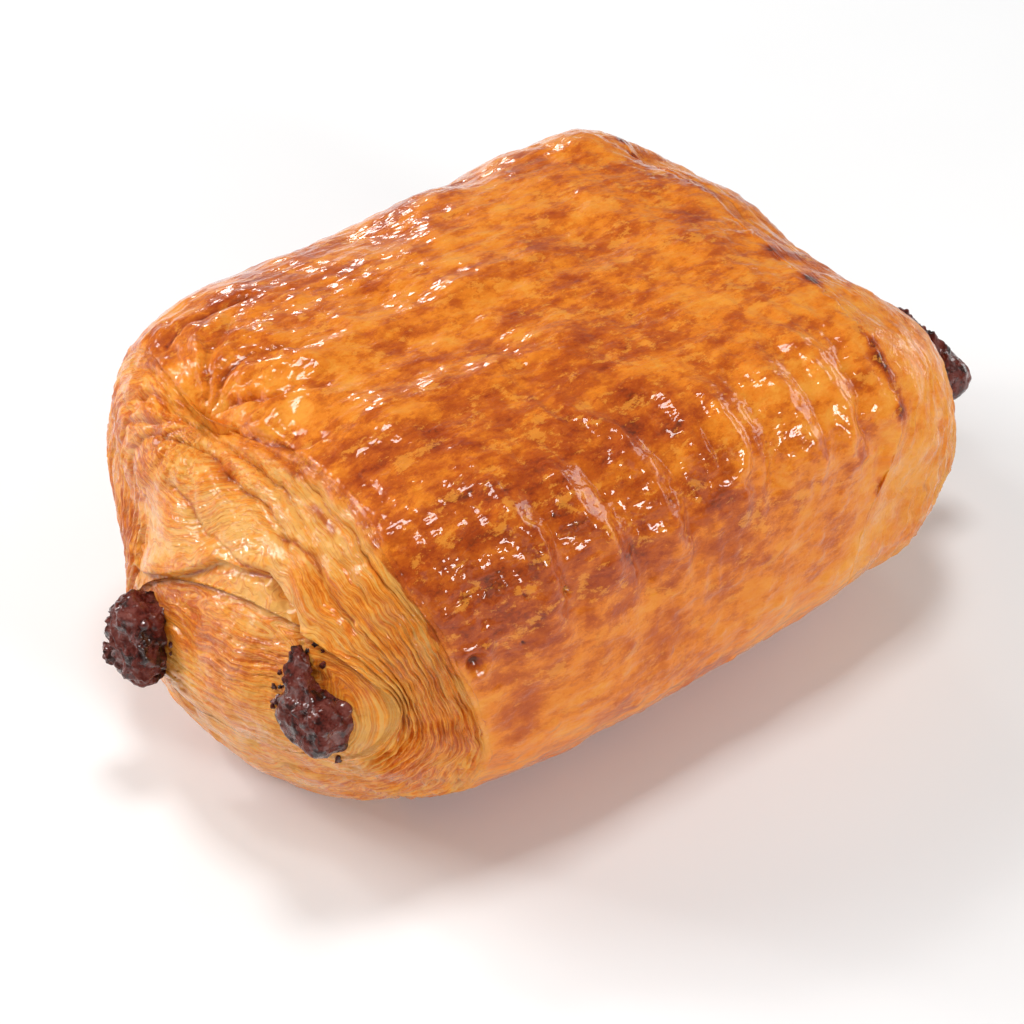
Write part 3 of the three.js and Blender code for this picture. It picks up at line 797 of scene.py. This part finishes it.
def end_object(roll, side, settings):
    """One domed end, from the middle of its core out to just under the crust."""
    name = "left_end" if side < 0 else "right_end"
    chance, crust_chance = Chance(settings.seed + 10 + side), Chance(settings.seed)
    rows = getattr(settings, name + "_rows")
    core_rows = rows // 6
    grid, turns, core, layer, under = end_grid(
        roll, side, core_rows, rows, getattr(settings, name + "_sides"))
    flat = above_tray(grid)
    edge = flat[core_rows + rows - 1]
    normal = surface_normals(grid) * -side
    folds = pinch_folds(flat, crust_chance)
    crusty = np.where(under > 0, 1, crust_share(flat, turns, edge, side, crust_chance))
    height, groove, tint, grain = end_relief(flat, turns, core, layer, side, roll, settings, chance)
    height *= 1 - 0.5 * crusty
    height += body_relief(flat, crust_chance) + 0.5 * folds
    if side < 0:
        from_edge = np.linalg.norm(flat - edge, axis=-1)
        height -= 0.6 * bell(from_edge, 1.3) * bell(turns - PINCH_TURN, 20)
    overlap = within(turns, 105, 250, 20) if side < 0 else np.ones(turns.shape)
    height += TUCK_OVERLAP * overlap * smooth(under / 0.3)
    height = mix(height, -TUCK_DEPTH, smooth((under - 0.15 - 0.4 * overlap) / 0.45))
    brown_and_shade = SHEET_BROWN + 0.27 * chance.wave(flat, 9, 3)
    brown_and_shade += 0.25 * smooth((9 - flat[..., 2]) / 8) + 0.14 * smooth((flat[..., 1] - 4) / 14)
    brown_and_shade -= 0.2 * bell(from_point(flat, (-43, -9, 42)), 11)
    tongue = (core < 1) * bell(core * np.sin(np.radians(turns)) - 0.45, 0.5)
    # Browner over the top of the tongue, and painted shade in the hollows of the pinch folds.
    brown_and_shade += 0.38 * tongue + 0.3 * np.clip(-folds, 0, 1)
    values = {
        "browning": crust_browning_and_shade(flat, turns, crust_chance, roll),
        "sheet_browning": brown_and_shade,
        "mottle": crust_mottle(flat),
        "crusty": crusty,
        # Toffee colour and painted shade of the grooves, the creases and the core's rim.
        "groove": groove,
        "tint": tint,
        "grain": grain,
    }
    raised = seat_on_tray(grid + height[..., None] * normal, grid)
    # Rings run towards +X, so that the faces point out at both ends.
    if side > 0:
        raised = raised[::-1]
        values = {title: value[::-1] for title, value in values.items()}
    return ring_object(name, raised, values)


def bar_rings(ends, half_size, tips, sides):
    """Rings along a bar of chocolate with a lumpy, melted tip at each end."""
    angle = np.arange(sides) * math.tau / sides
    spread = (np.abs(np.cos(angle)) ** 3 + np.abs(np.sin(angle)) ** 3) ** (-1 / 3)
    left, right = np.array(ends, float)
    halves = []
    for end, direction, (reach, wide, tall) in zip((left, right), (1, -1), tips):
        half = []
        for share, size in zip(TIP_PLACES, TIP_SIZES):
            bulge = smooth((1.5 - share) / 0.9)
            x = end[0] + direction * reach * share
            middle = mix(left, right, (x - left[0]) / (right[0] - left[0]))
            y = middle[1] + half_size[0] * size * mix(1, wide, bulge) * spread * np.cos(angle)
            z = middle[2] + half_size[1] * size * mix(1, tall, bulge) * spread * np.sin(angle)
            half.append(np.stack((np.full(sides, x), y, z), -1))
        halves.append(half)
    return np.array(halves[0] + halves[1][::-1])


def voxel_fused(name, parts, voxel):
    """One closed mesh from overlapping closed ones, in even faces of about the voxel's size."""
    points, faces = joined(parts)
    raw = make_object(name + "_raw", (points + origin_shift()) * MM, faces)
    remesh = raw.modifiers.new("fuse", "REMESH")
    remesh.mode = "VOXEL"
    remesh.voxel_size = voxel * MM
    evaluated = raw.evaluated_get(bpy.context.evaluated_depsgraph_get())
    fused = bpy.data.meshes.new_from_object(evaluated)
    bpy.data.objects.remove(raw)
    made = bpy.data.objects.new(name, fused)
    bpy.context.scene.collection.objects.link(made)
    fused.name = name
    fused.shade_smooth()
    return made


def drop_part(spot, size, rings=9, sides=16):
    """A round drop as points and faces."""
    tilt = np.linspace(0.12, math.pi - 0.12, rings)[:, None]
    angle = (np.arange(sides) * math.tau / sides)[None, :]
    across, up = np.sin(tilt) * np.cos(angle), np.sin(tilt) * np.sin(angle)
    unit = np.stack(np.broadcast_arrays(-np.cos(tilt), across, up), -1)
    return closed_rings(np.array(spot) + unit * np.array(size))


def roughen(made, heights):
    """Move each point of a mesh along its normal by a height in millimetres."""
    mesh = made.data
    count = len(mesh.vertices)
    place = np.empty(count * 3, np.float32)
    mesh.vertices.foreach_get("co", place)
    place = place.reshape(-1, 3)
    normal = np.empty(count * 3, np.float32)
    mesh.vertex_normals.foreach_get("vector", normal)
    moved = place + normal.reshape(-1, 3) * heights(place / MM)[:, None] * MM
    mesh.vertices.foreach_set("co", moved.astype(np.float32).ravel())
    mesh.update()


def bar_object(name, ends, half_size, tips, drops, calm_below, settings, seed):
    """One bar with its drops, rough where it has melted, smoother below a height."""
    chance = Chance(seed)
    parts = [closed_rings(bar_rings(ends, half_size, tips, BAR_SIDES))]
    parts += [drop_part(spot, size) for spot, size in drops]
    made = voxel_fused(name, parts, settings.grain / MM)

    def heights(place):
        tip = smooth((np.abs(place[:, 0]) - ROUGH_FROM) / 4)
        lumps = 0.45 * chance.wave(place, 4.2, 2) - 0.4
        crumbly = 0.5 * chance.wave(place, 1.4, 3)
        near, own = chance.spots(place, 1.5)
        grains = 0.34 * np.clip(1 - (near / 0.75) ** 2, 0, 1) * (own > 0.3)
        rough = 0.2 + 0.8 * smooth((place[:, 2] - calm_below) / 2.5 + 0.6 * chance.wave(place, 3))
        return tip * (lumps + (crumbly + grains) * rough)

    roughen(made, heights)
    return made


def crumbs_object(name, groups, size, seed):
    """Crumbs that lie on the left end, in groups of a point in Y and Z, a spread and a number."""
    end = bpy.data.objects.get("left_end")
    if end is None:
        raise RuntimeError("the layered ends are made before the crumbs")
    draw = np.random.default_rng(seed)
    parts = []
    for spot, spread, number in groups:
        for y, z in draw.normal(spot, spread, (number, 2)):
            hit, place, _, _ = end.ray_cast((WELL_LEFT * MM, y * MM, z * MM), (1, 0, 0))
            if not hit:
                continue
            half = size / MM * draw.uniform(0.45, 1.2) * draw.uniform(0.7, 1.3, 3)
            points, part_faces = drop_part(np.array(place) / MM, half, 5, 8)
            points += draw.normal(0, 0.22 * half.mean(), points.shape)
            parts.append((points, part_faces))
    points, faces = joined(parts)
    return make_object(name, points * MM, faces)


class NodeSketch:
    """Adds shader nodes to a material and joins them, one short call each."""

    def __init__(self, name):
        self.material = bpy.data.materials.new(name)
        self.material.use_nodes = True
        self.tree = self.material.node_tree
        self.shader = self.tree.nodes["Principled BSDF"]

    def add(self, kind, **inputs):
        node = self.tree.nodes.new(kind)
        self.feed(node, **inputs)
        return node

    def feed(self, node, **inputs):
        for title, value in inputs.items():
            self.put(node.inputs[title.replace("_", " ")], value)

    def finish(self, **inputs):
        """Join textures to the finish itself."""
        self.feed(self.shader, **inputs)

    def put(self, socket, value):
        """Join another node's output to a socket, or give it a plain value."""
        if isinstance(value, bpy.types.NodeSocket):
            self.tree.links.new(value, socket)
        else:
            socket.default_value = value

    def place(self, stretch=(1, 1, 1)):
        """Object coordinates in millimetres, optionally stretched."""
        coordinates = self.add("ShaderNodeTexCoord").outputs["Object"]
        scale = [share / MM for share in stretch]
        return self.add("ShaderNodeMapping", Vector=coordinates, Scale=scale).outputs["Vector"]

    def noise(self, place, size, detail=3, roughness=0.55):
        return self.add("ShaderNodeTexNoise", Vector=place, Scale=1 / size, Detail=detail,
                        Roughness=roughness).outputs["Fac"]

    def cells(self, place, size):
        return self.add("ShaderNodeTexVoronoi", Vector=place, Scale=1 / size).outputs["Distance"]

    def stored(self, title, output="Fac"):
        """What the mesh stores at its points under a name."""
        node = self.add("ShaderNodeAttribute")
        node.attribute_name = title
        return node.outputs[output]

    def contour(self, value, width):
        """Thin winding lines where a texture passes 0.5."""
        return self.remap(self.math("ABSOLUTE", self.math("SUBTRACT", value, 0.5)), 0, width, 1, 0)

    def swing(self, value, strength):
        """A texture of 0 to 1 turned into a change of colour level round 0."""
        return self.times(self.math("SUBTRACT", value, 0.5), strength)

    def times(self, a, b):
        return self.math("MULTIPLY", a, b)

    def total(self, first, *others):
        for other in others:
            first = self.math("ADD", first, other)
        return first

    def math(self, operation, a, b=0.0):
        node = self.add("ShaderNodeMath")
        node.operation = operation
        self.put(node.inputs[0], a)
        self.put(node.inputs[1], b)
        return node.outputs[0]

    def remap(self, value, low, high, to_low=0.0, to_high=1.0):
        """An eased step between two levels of a texture."""
        node = self.add("ShaderNodeMapRange", Value=value, From_Min=low, From_Max=high,
                        To_Min=to_low, To_Max=to_high)
        node.interpolation_type = "SMOOTHSTEP"
        return node.outputs["Result"]

    def ramp(self, value, stops):
        node = self.add("ShaderNodeValToRGB", Fac=value)
        elements = node.color_ramp.elements
        while len(elements) < len(stops):
            elements.new(0.5)
        for element, (position, colour) in zip(elements, stops):
            element.position = position
            element.color = (*colour, 1)
        return node.outputs["Color"]

    def blend(self, share, first, second, mode="MIX"):
        node = self.add("ShaderNodeMix")
        node.data_type = "RGBA"
        node.blend_type = mode
        for title, value in (("Factor_Float", share), ("A_Color", first), ("B_Color", second)):
            socket = next(s for s in node.inputs if s.identifier == title)
            self.put(socket, (*value, 1) if isinstance(value, Color) else value)
        return next(s for s in node.outputs if s.identifier == "Result_Color")

    def bump(self, height, distance, strength=1.0, under=None):
        """Fine relief of a depth in millimetres, on top of another one."""
        node = self.add("ShaderNodeBump", Height=height, Strength=strength, Distance=distance * MM)
        if under is not None:
            self.feed(node, Normal=under)
        return node.outputs["Normal"]


def crust_shade(sketch, colours):
    """Colour of the crust: crisp strokes of gold, amber and toffee along the roll, with flecks."""
    strokes = sketch.place((0.6, 1, 1))
    cloud = sketch.swing(sketch.noise(strokes, 3.0, 7, 0.72), 1.35)
    crisp = sketch.swing(sketch.remap(sketch.noise(strokes, 2.2, 6, 0.75), 0.46, 0.56), 0.14)
    clouds = sketch.times(sketch.total(cloud, crisp), sketch.stored("mottle"))
    level = sketch.total(sketch.stored("browning"), clouds)
    colour = sketch.ramp(level, (
        (0.02, colours.gold), (0.3, colours.amber), (0.52, colours.toffee),
        (0.74, colours.russet), (0.98, colours.burnt)))
    flecks = sketch.remap(sketch.noise(strokes, 2.4, 7, 0.75), 0.54, 0.6, 0, 0.6)
    flecks = sketch.times(flecks, sketch.stored("mottle"))
    return sketch.blend(flecks, colour, colours.gold)


def crust_finish(colours):
    """Egg-washed crust under a glossy, uneven glaze."""
    sketch = NodeSketch("glazed_crust")
    place = sketch.place()
    sketch.finish(Base_Color=crust_shade(sketch, colours))
    patchy = sketch.remap(sketch.noise(place, 5, 2), 0.35, 0.65, 0.0, 0.16)
    matte = sketch.times(sketch.math("SUBTRACT", 1.0, sketch.stored("gloss")), 0.35)
    sketch.finish(Roughness=sketch.total(matte, patchy, 0.3))
    film = sketch.bump(sketch.noise(sketch.place((0.45, 1, 1)), 1.8, 2, 0.5), 0.6, 0.65)
    grain = sketch.bump(sketch.noise(place, 0.4, 3, 0.6), 0.1, 0.7, film)
    sketch.finish(Normal=grain)
    pebbles = sketch.bump(sketch.cells(place, 0.9), 0.1, 0.2, film)
    sketch.finish(Coat_Normal=pebbles)
    shader = sketch.shader.inputs
    shader["Specular IOR Level"].default_value = 0.2
    shader["Specular Tint"].default_value = (1.0, 0.62, 0.3, 1.0)
    shader["Coat Weight"].default_value = 0.85
    shader["Coat Roughness"].default_value = 0.04
    shader["Coat IOR"].default_value = 1.36
    shader["Subsurface Weight"].default_value = 0.12
    shader["Subsurface Radius"].default_value = (1.0, 0.42, 0.14)
    shader["Subsurface Scale"].default_value = 1.6 * MM
    return sketch.material


def layered_finish(colours):
    """Laminated ends: pale streaky sheets with toffee-coloured grooves and painted shade in them,
    which blend into crust.
    """
    sketch = NodeSketch("layered_ends")
    place = sketch.place()
    grain = sketch.stored("grain", "Vector")
    streak = sketch.remap(sketch.noise(grain, 1.0, 5, 0.65), 0.36, 0.64)
    groove = sketch.stored("groove")
    level = sketch.total(
        sketch.stored("sheet_browning"),
        sketch.swing(sketch.noise(place, 2.2, 5, 0.6), 0.45),
        sketch.swing(streak, 0.62),
        sketch.swing(sketch.noise(place, 0.6, 4, 0.7), 0.7),
        sketch.times(sketch.math("SUBTRACT", 0.5, sketch.stored("tint")), 0.45))
    colour = sketch.ramp(level, (
        (0.0, colours.crumb), (0.28, colours.gold), (0.55, colours.amber), (0.9, colours.toffee)))
    # Toffee and painted shade in the grooves and creases, and a russet painted shade in the deepest
    # of them.
    deep = sketch.remap(sketch.total(groove, sketch.swing(streak, 0.25)), 0.4, 0.95, 0.0, 0.75)
    colour = sketch.blend(deep, colour, colours.toffee)
    deepest_shade = sketch.remap(groove, 0.82, 1.0, 0.0, 0.6)
    colour = sketch.blend(deepest_shade, colour, colours.russet)
    thread = sketch.contour(sketch.noise(grain, 1.6, 3, 0.55), 0.04)
    colour = sketch.blend(sketch.times(thread, 0.5), colour, colours.toffee)
    flake = sketch.contour(sketch.noise(grain, 1.1, 3, 0.55), 0.035)
    colour = sketch.blend(sketch.times(flake, 0.5), colour, colours.crumb)
    mottle = sketch.swing(sketch.noise(place, 1.6, 4, 0.65), 0.9)
    crusty = sketch.remap(sketch.total(sketch.stored("crusty"), mottle), 0.2, 0.8)
    colour = sketch.blend(crusty, colour, crust_shade(sketch, colours))
    sketch.finish(Base_Color=colour)
    roughness = sketch.remap(sketch.noise(place, 3, 3), 0.3, 0.7, 0.32, 0.55)
    sketch.finish(Roughness=roughness)
    raised = sketch.total(streak, sketch.times(flake, 0.3), sketch.times(thread, -0.4))
    threads = sketch.bump(raised, 0.08, 0.7)
    bubbles = sketch.bump(sketch.cells(place, 0.8), 0.16, 0.7, threads)
    fine = sketch.bump(sketch.noise(place, 0.35, 3, 0.6), 0.07, 0.6, bubbles)
    sketch.finish(Normal=fine)
    film = sketch.bump(sketch.noise(grain, 1.6, 2, 0.5), 0.5, 0.7)
    sparkle = sketch.bump(sketch.noise(place, 0.6, 1, 0.5), 0.1, 0.6, film)
    glaze = sketch.remap(sketch.noise(place, 4.5, 3), 0.42, 0.58, 0.3, 1.0)
    sketch.finish(Coat_Normal=sparkle, Coat_Weight=glaze)
    shader = sketch.shader.inputs
    shader["Specular IOR Level"].default_value = 0.25
    shader["Specular Tint"].default_value = (1.0, 0.7, 0.4, 1.0)
    shader["Coat Roughness"].default_value = 0.05
    shader["Coat IOR"].default_value = 1.42
    shader["Subsurface Weight"].default_value = 0.1
    shader["Subsurface Radius"].default_value = (1.0, 0.5, 0.18)
    shader["Subsurface Scale"].default_value = 2.2 * MM
    return sketch.material


def chocolate_finish(colours):
    """Dark chocolate that has melted and set: near-black and red-brown, part rough, part glossy."""
    sketch = NodeSketch("dark_chocolate")
    place = sketch.place()
    patch = sketch.noise(place, 2.0, 5, 0.65)
    colour = sketch.ramp(patch, (
        (0.41, colours.cocoa), (0.51, colours.chocolate), (0.61, colours.bloom)))
    sketch.finish(Base_Color=colour)
    roughness = sketch.remap(sketch.noise(place, 1.8, 3), 0.4, 0.6, 0.16, 0.6)
    sketch.finish(Roughness=roughness)
    crumbs = sketch.bump(sketch.cells(place, 0.7), 0.3, 0.8)
    grain = sketch.bump(sketch.noise(place, 0.4, 4, 0.65), 0.2, 0.8, crumbs)
    sketch.finish(Normal=grain)
    wet = sketch.remap(sketch.noise(place, 1.6, 3, 0.6), 0.47, 0.55)
    sketch.finish(Coat_Weight=wet)
    shader = sketch.shader.inputs
    shader["Specular IOR Level"].default_value = 0.3
    shader["Specular Tint"].default_value = (1.0, 0.5, 0.4, 1.0)
    shader["Coat Roughness"].default_value = 0.08
    return sketch.material


def floor_finish(colour):
    """A matt floor, very slightly uneven."""
    sketch = NodeSketch("pale_floor")
    place = sketch.place()
    uneven = sketch.remap(sketch.noise(place, 60, 2), 0.3, 0.7, 0.985, 1.0)
    sketch.finish(Base_Color=sketch.blend(1.0, colour, uneven, "MULTIPLY"))
    sketch.shader.inputs["Roughness"].default_value = 0.85
    return sketch.material


def amount(name, description, default, **kind):
    return bpy.props.FloatProperty(name=name, description=description, default=default, **kind)


def metres(name, description, default):
    return amount(name, description, default, unit="LENGTH", precision=5)


def degrees(name, description, default):
    return amount(name, description, math.radians(default), subtype="ANGLE")


def whole_number(name, description, default):
    return bpy.props.IntProperty(name=name, description=description, default=default, min=1)


def shade(name, description, default):
    return bpy.props.FloatVectorProperty(
        name=name, description=description, default=default, subtype="COLOR", size=3, min=0, max=1)


class PastrySettings(bpy.types.PropertyGroup):
    """Sizes of the baked roll."""

    left_reach: metres(
        "Left reach", "From the middle of the roll to the tip of its left end", 0.052)
    right_reach: metres(
        "Right reach", "From the middle of the roll to the tip of its right end", 0.0506)
    half_width: metres("Half width", "Half of the roll's width at its middle", 0.0359)
    height: metres("Height", "Height of the roll at its middle", 0.0489)
    waist_height: metres("Waist height", "Height of the widest line of the roll", 0.0198)
    sink: metres("Sink", "How much of the round underside the tray has pressed flat", 0.0034)
    sheet_depth: metres(
        "Sheet depth", "Depth of the grooves between the sheets at the ends", 0.001)
    left_sheets: whole_number(
        "Left sheets", "Number of stacked sheets that show at the left end", 13)
    right_sheets: whole_number(
        "Right sheets", "Number of stacked sheets that show at the right end", 13)
    crust_rows: whole_number("Crust rows", "Rings of points along the crust", 196)
    crust_sides: whole_number("Crust sides", "Points round each ring of the crust", 500)
    left_end_rows: whole_number(
        "Left end rows", "Rings of points in the sheets of the left end", 190)
    left_end_sides: whole_number("Left end sides", "Points round each ring of the left end", 430)
    right_end_rows: whole_number(
        "Right end rows", "Rings of points in the sheets of the right end", 150)
    right_end_sides: whole_number(
        "Right end sides", "Points round each ring of the right end", 340)
    seed: whole_number("Seed", "Number that the random unevenness starts from", 4)


class ChocolateSettings(bpy.types.PropertyGroup):
    """Sizes of the two bars of chocolate."""

    front_half_width: metres("Front half width", "Half of the front bar's width", 0.0042)
    front_half_height: metres("Front half height", "Half of the front bar's height", 0.0041)
    back_half_width: metres("Back half width", "Half of the back bar's width", 0.0039)
    back_half_height: metres("Back half height", "Half of the back bar's height", 0.0046)
    crumb_size: metres("Crumb size", "Half of the size of a loose crumb of chocolate", 0.00034)
    grain: metres("Grain", "Size of the faces of the chocolate's mesh", 0.00027)


class FinishSettings(bpy.types.PropertyGroup):
    """Colours of the baked dough and the chocolate."""

    crumb: shade("Crumb", "Palest dough at the ends", (0.76, 0.37, 0.085))
    gold: shade("Gold", "Lightly baked dough and the flecks of the crust", (0.8, 0.305, 0.036))
    amber: shade("Amber", "Most of the crust", (0.73, 0.2, 0.012))
    toffee: shade("Toffee", "Well baked clouds of the crust", (0.5, 0.095, 0.006))
    russet: shade("Russet", "Dark clouds of the crust", (0.34, 0.045, 0.004))
    burnt: shade("Burnt", "Burnt pits and slits", (0.09, 0.014, 0.005))
    cocoa: shade("Cocoa", "Darkest chocolate", (0.014, 0.004, 0.004))
    chocolate: shade("Chocolate", "Most of the chocolate", (0.1, 0.012, 0.008))
    bloom: shade("Bloom", "Greyer skin of the set chocolate", (0.15, 0.037, 0.028))


class StageSettings(bpy.types.PropertyGroup):
    """Floor, camera and lights."""

    floor_colour: shade("Floor", "Colour of the floor", (0.86, 0.86, 0.86))
    azimuth: degrees("Azimuth", "Camera angle round the pastry", -40.3)
    elevation: degrees("Elevation", "Camera angle over the floor", 40.28)
    distance: metres("Distance", "From the camera to the point that it looks at", 0.4219)
    target_height: metres("Target height", "Height of the point that the camera looks at", 0.0164)
    lens: amount("Lens", "Focal length of the camera in millimetres", 119.4)
    key_power: amount("Key power", "Power of the main softboxes", 1.6, unit="POWER")
    fill_power: amount("Fill power", "Power of the smaller softboxes", 1.0, unit="POWER")
    sky: amount("Sky", "Brightness of the white studio all round", 0.2)


class PAIN_OT_crust(bpy.types.Operator):
    """Make the glazed crust between the two cut edges"""

    bl_idname = "pain.crust"
    bl_label = "Crust"

    def execute(self, context):
        scene = context.scene
        made = crust_object(Roll(scene.pain_pastry), scene.pain_pastry)
        made.data.materials.append(crust_finish(scene.pain_finish))
        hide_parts("pastry")
        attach(made, "root")
        return {"FINISHED"}


class PAIN_OT_ends(bpy.types.Operator):
    """Make the two domed ends with their stacked sheets"""

    bl_idname = "pain.ends"
    bl_label = "Layered ends"

    def execute(self, context):
        scene = context.scene
        finish = layered_finish(scene.pain_finish)
        for side in (-1, 1):
            made = end_object(Roll(scene.pain_pastry), side, scene.pain_pastry)
            made.data.materials.append(finish)
            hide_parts("pastry")
            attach(made, "root")
        return {"FINISHED"}


class PAIN_OT_chocolate(bpy.types.Operator):
    """Make the two bars of chocolate with their melted tips"""

    bl_idname = "pain.chocolate"
    bl_label = "Chocolate bars"

    def execute(self, context):
        scene = context.scene
        choc = scene.pain_chocolate
        finish = chocolate_finish(scene.pain_finish)
        front_size = (choc.front_half_width / MM, choc.front_half_height / MM)
        back_size = (choc.back_half_width / MM, choc.back_half_height / MM)
        front = bar_object(
            "front_bar", FRONT_BAR, front_size, FRONT_BAR_TIPS, FRONT_BAR_DROPS,
            FRONT_BAR_CALM_BELOW, choc, seed=3)
        back = bar_object(
            "back_bar", BACK_BAR, back_size, BACK_BAR_TIPS, BACK_BAR_DROPS,
            BACK_BAR_CALM_BELOW, choc, seed=8)
        for made, node in ((front, "chocolate_front"), (back, "chocolate_back")):
            made.data.materials.append(finish)
            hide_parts(node)
            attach(made, "root")
        return {"FINISHED"}


class PAIN_OT_crumbs(bpy.types.Operator):
    """Scatter crumbs of chocolate round the left tips of both bars"""

    bl_idname = "pain.crumbs"
    bl_label = "Crumbs"

    def execute(self, context):
        scene = context.scene
        made = crumbs_object("crumbs", CRUMBS, scene.pain_chocolate.crumb_size, seed=5)
        made.data.materials.append(chocolate_finish(scene.pain_finish))
        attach(made, "root")
        return {"FINISHED"}


def softbox(name, spot, aim, size, power):
    """A rectangular area light at a point in metres, facing another, unseen by the camera."""
    lamp = bpy.data.lights.new(name, "AREA")
    lamp.shape = "RECTANGLE"
    lamp.size, lamp.size_y = size
    lamp.energy = power
    made = bpy.data.objects.new(name, lamp)
    made.location = spot
    made.rotation_euler = (Vector(aim) - Vector(spot)).to_track_quat("-Z", "Y").to_euler()
    made.visible_camera = False
    bpy.context.scene.collection.objects.link(made)


class PAIN_OT_stage(bpy.types.Operator):
    """Make the pale floor, the soft lights and the camera"""

    bl_idname = "pain.stage"
    bl_label = "Stage"

    def execute(self, context):
        scene = context.scene
        stage = scene.pain_stage
        corners = FLOOR_REACH * np.array(((-1, -1, 0), (1, -1, 0), (1, 1, 0), (-1, 1, 0)))
        floor = make_object("floor", corners, [(0, 1, 2, 3)])
        floor.data.materials.append(floor_finish(stage.floor_colour))
        aim = (0, 0, stage.target_height)
        for name, spot, size, share, source in SOFTBOXES:
            softbox(name, spot, aim, size, share * getattr(stage, source))
        world = bpy.data.worlds.new("studio")
        world.use_nodes = True
        sky = world.node_tree.nodes["Background"].inputs
        sky["Color"].default_value = (1, 1, 1, 1)
        sky["Strength"].default_value = stage.sky
        scene.world = world
        self.place_camera(scene, stage)
        scene.view_settings.view_transform = "Standard"
        return {"FINISHED"}

    @staticmethod
    def place_camera(scene, stage):
        """Look at the roll from the photo's side."""
        flat = math.cos(stage.elevation)
        back = Vector((math.sin(stage.azimuth) * flat, -math.cos(stage.azimuth) * flat,
                       math.sin(stage.elevation)))
        target = Vector((TARGET_X + origin_shift()[0] * MM, 0, stage.target_height))
        lens = bpy.data.cameras.new("camera")
        lens.lens = stage.lens
        lens.clip_start = 0.01
        camera = bpy.data.objects.new("camera", lens)
        camera.location = target + back * stage.distance
        camera.rotation_euler = (-back).to_track_quat("-Z", "Y").to_euler()
        scene.collection.objects.link(camera)
        scene.camera = camera


class PAIN_PT_panel(bpy.types.Panel):
    """Lists the settings and the pieces"""

    bl_idname = "PAIN_PT_panel"
    bl_label = "Pain au Chocolat"
    bl_space_type = "VIEW_3D"
    bl_region_type = "UI"
    bl_category = "Bakery"

    def draw(self, context):
        layout = self.layout
        for title, group in SETTINGS.items():
            box = layout.box()
            box.label(text=group.__doc__)
            for name in group.__annotations__:
                box.prop(getattr(context.scene, title), name)
        for operator in OPERATORS:
            layout.operator(operator.bl_idname)


SETTINGS = {
    "pain_pastry": PastrySettings,
    "pain_chocolate": ChocolateSettings,
    "pain_finish": FinishSettings,
    "pain_stage": StageSettings,
}
OPERATORS = (PAIN_OT_crust, PAIN_OT_ends, PAIN_OT_chocolate, PAIN_OT_crumbs, PAIN_OT_stage)


def register():
    for group in SETTINGS.values():
        bpy.utils.register_class(group)
    for title, group in SETTINGS.items():
        setattr(bpy.types.Scene, title, bpy.props.PointerProperty(type=group))
    for operator in OPERATORS:
        bpy.utils.register_class(operator)
    bpy.utils.register_class(PAIN_PT_panel)


def unregister():
    bpy.utils.unregister_class(PAIN_PT_panel)
    for operator in reversed(OPERATORS):
        bpy.utils.unregister_class(operator)
    for title in SETTINGS:
        delattr(bpy.types.Scene, title)
    for group in reversed(SETTINGS.values()):
        bpy.utils.unregister_class(group)


def main():
    register()
    bpy.ops.pain.crust()
    bpy.ops.pain.ends()
    bpy.ops.pain.chocolate()
    bpy.ops.pain.crumbs()
    bpy.ops.pain.stage()


if __name__ == "__main__":
    main()
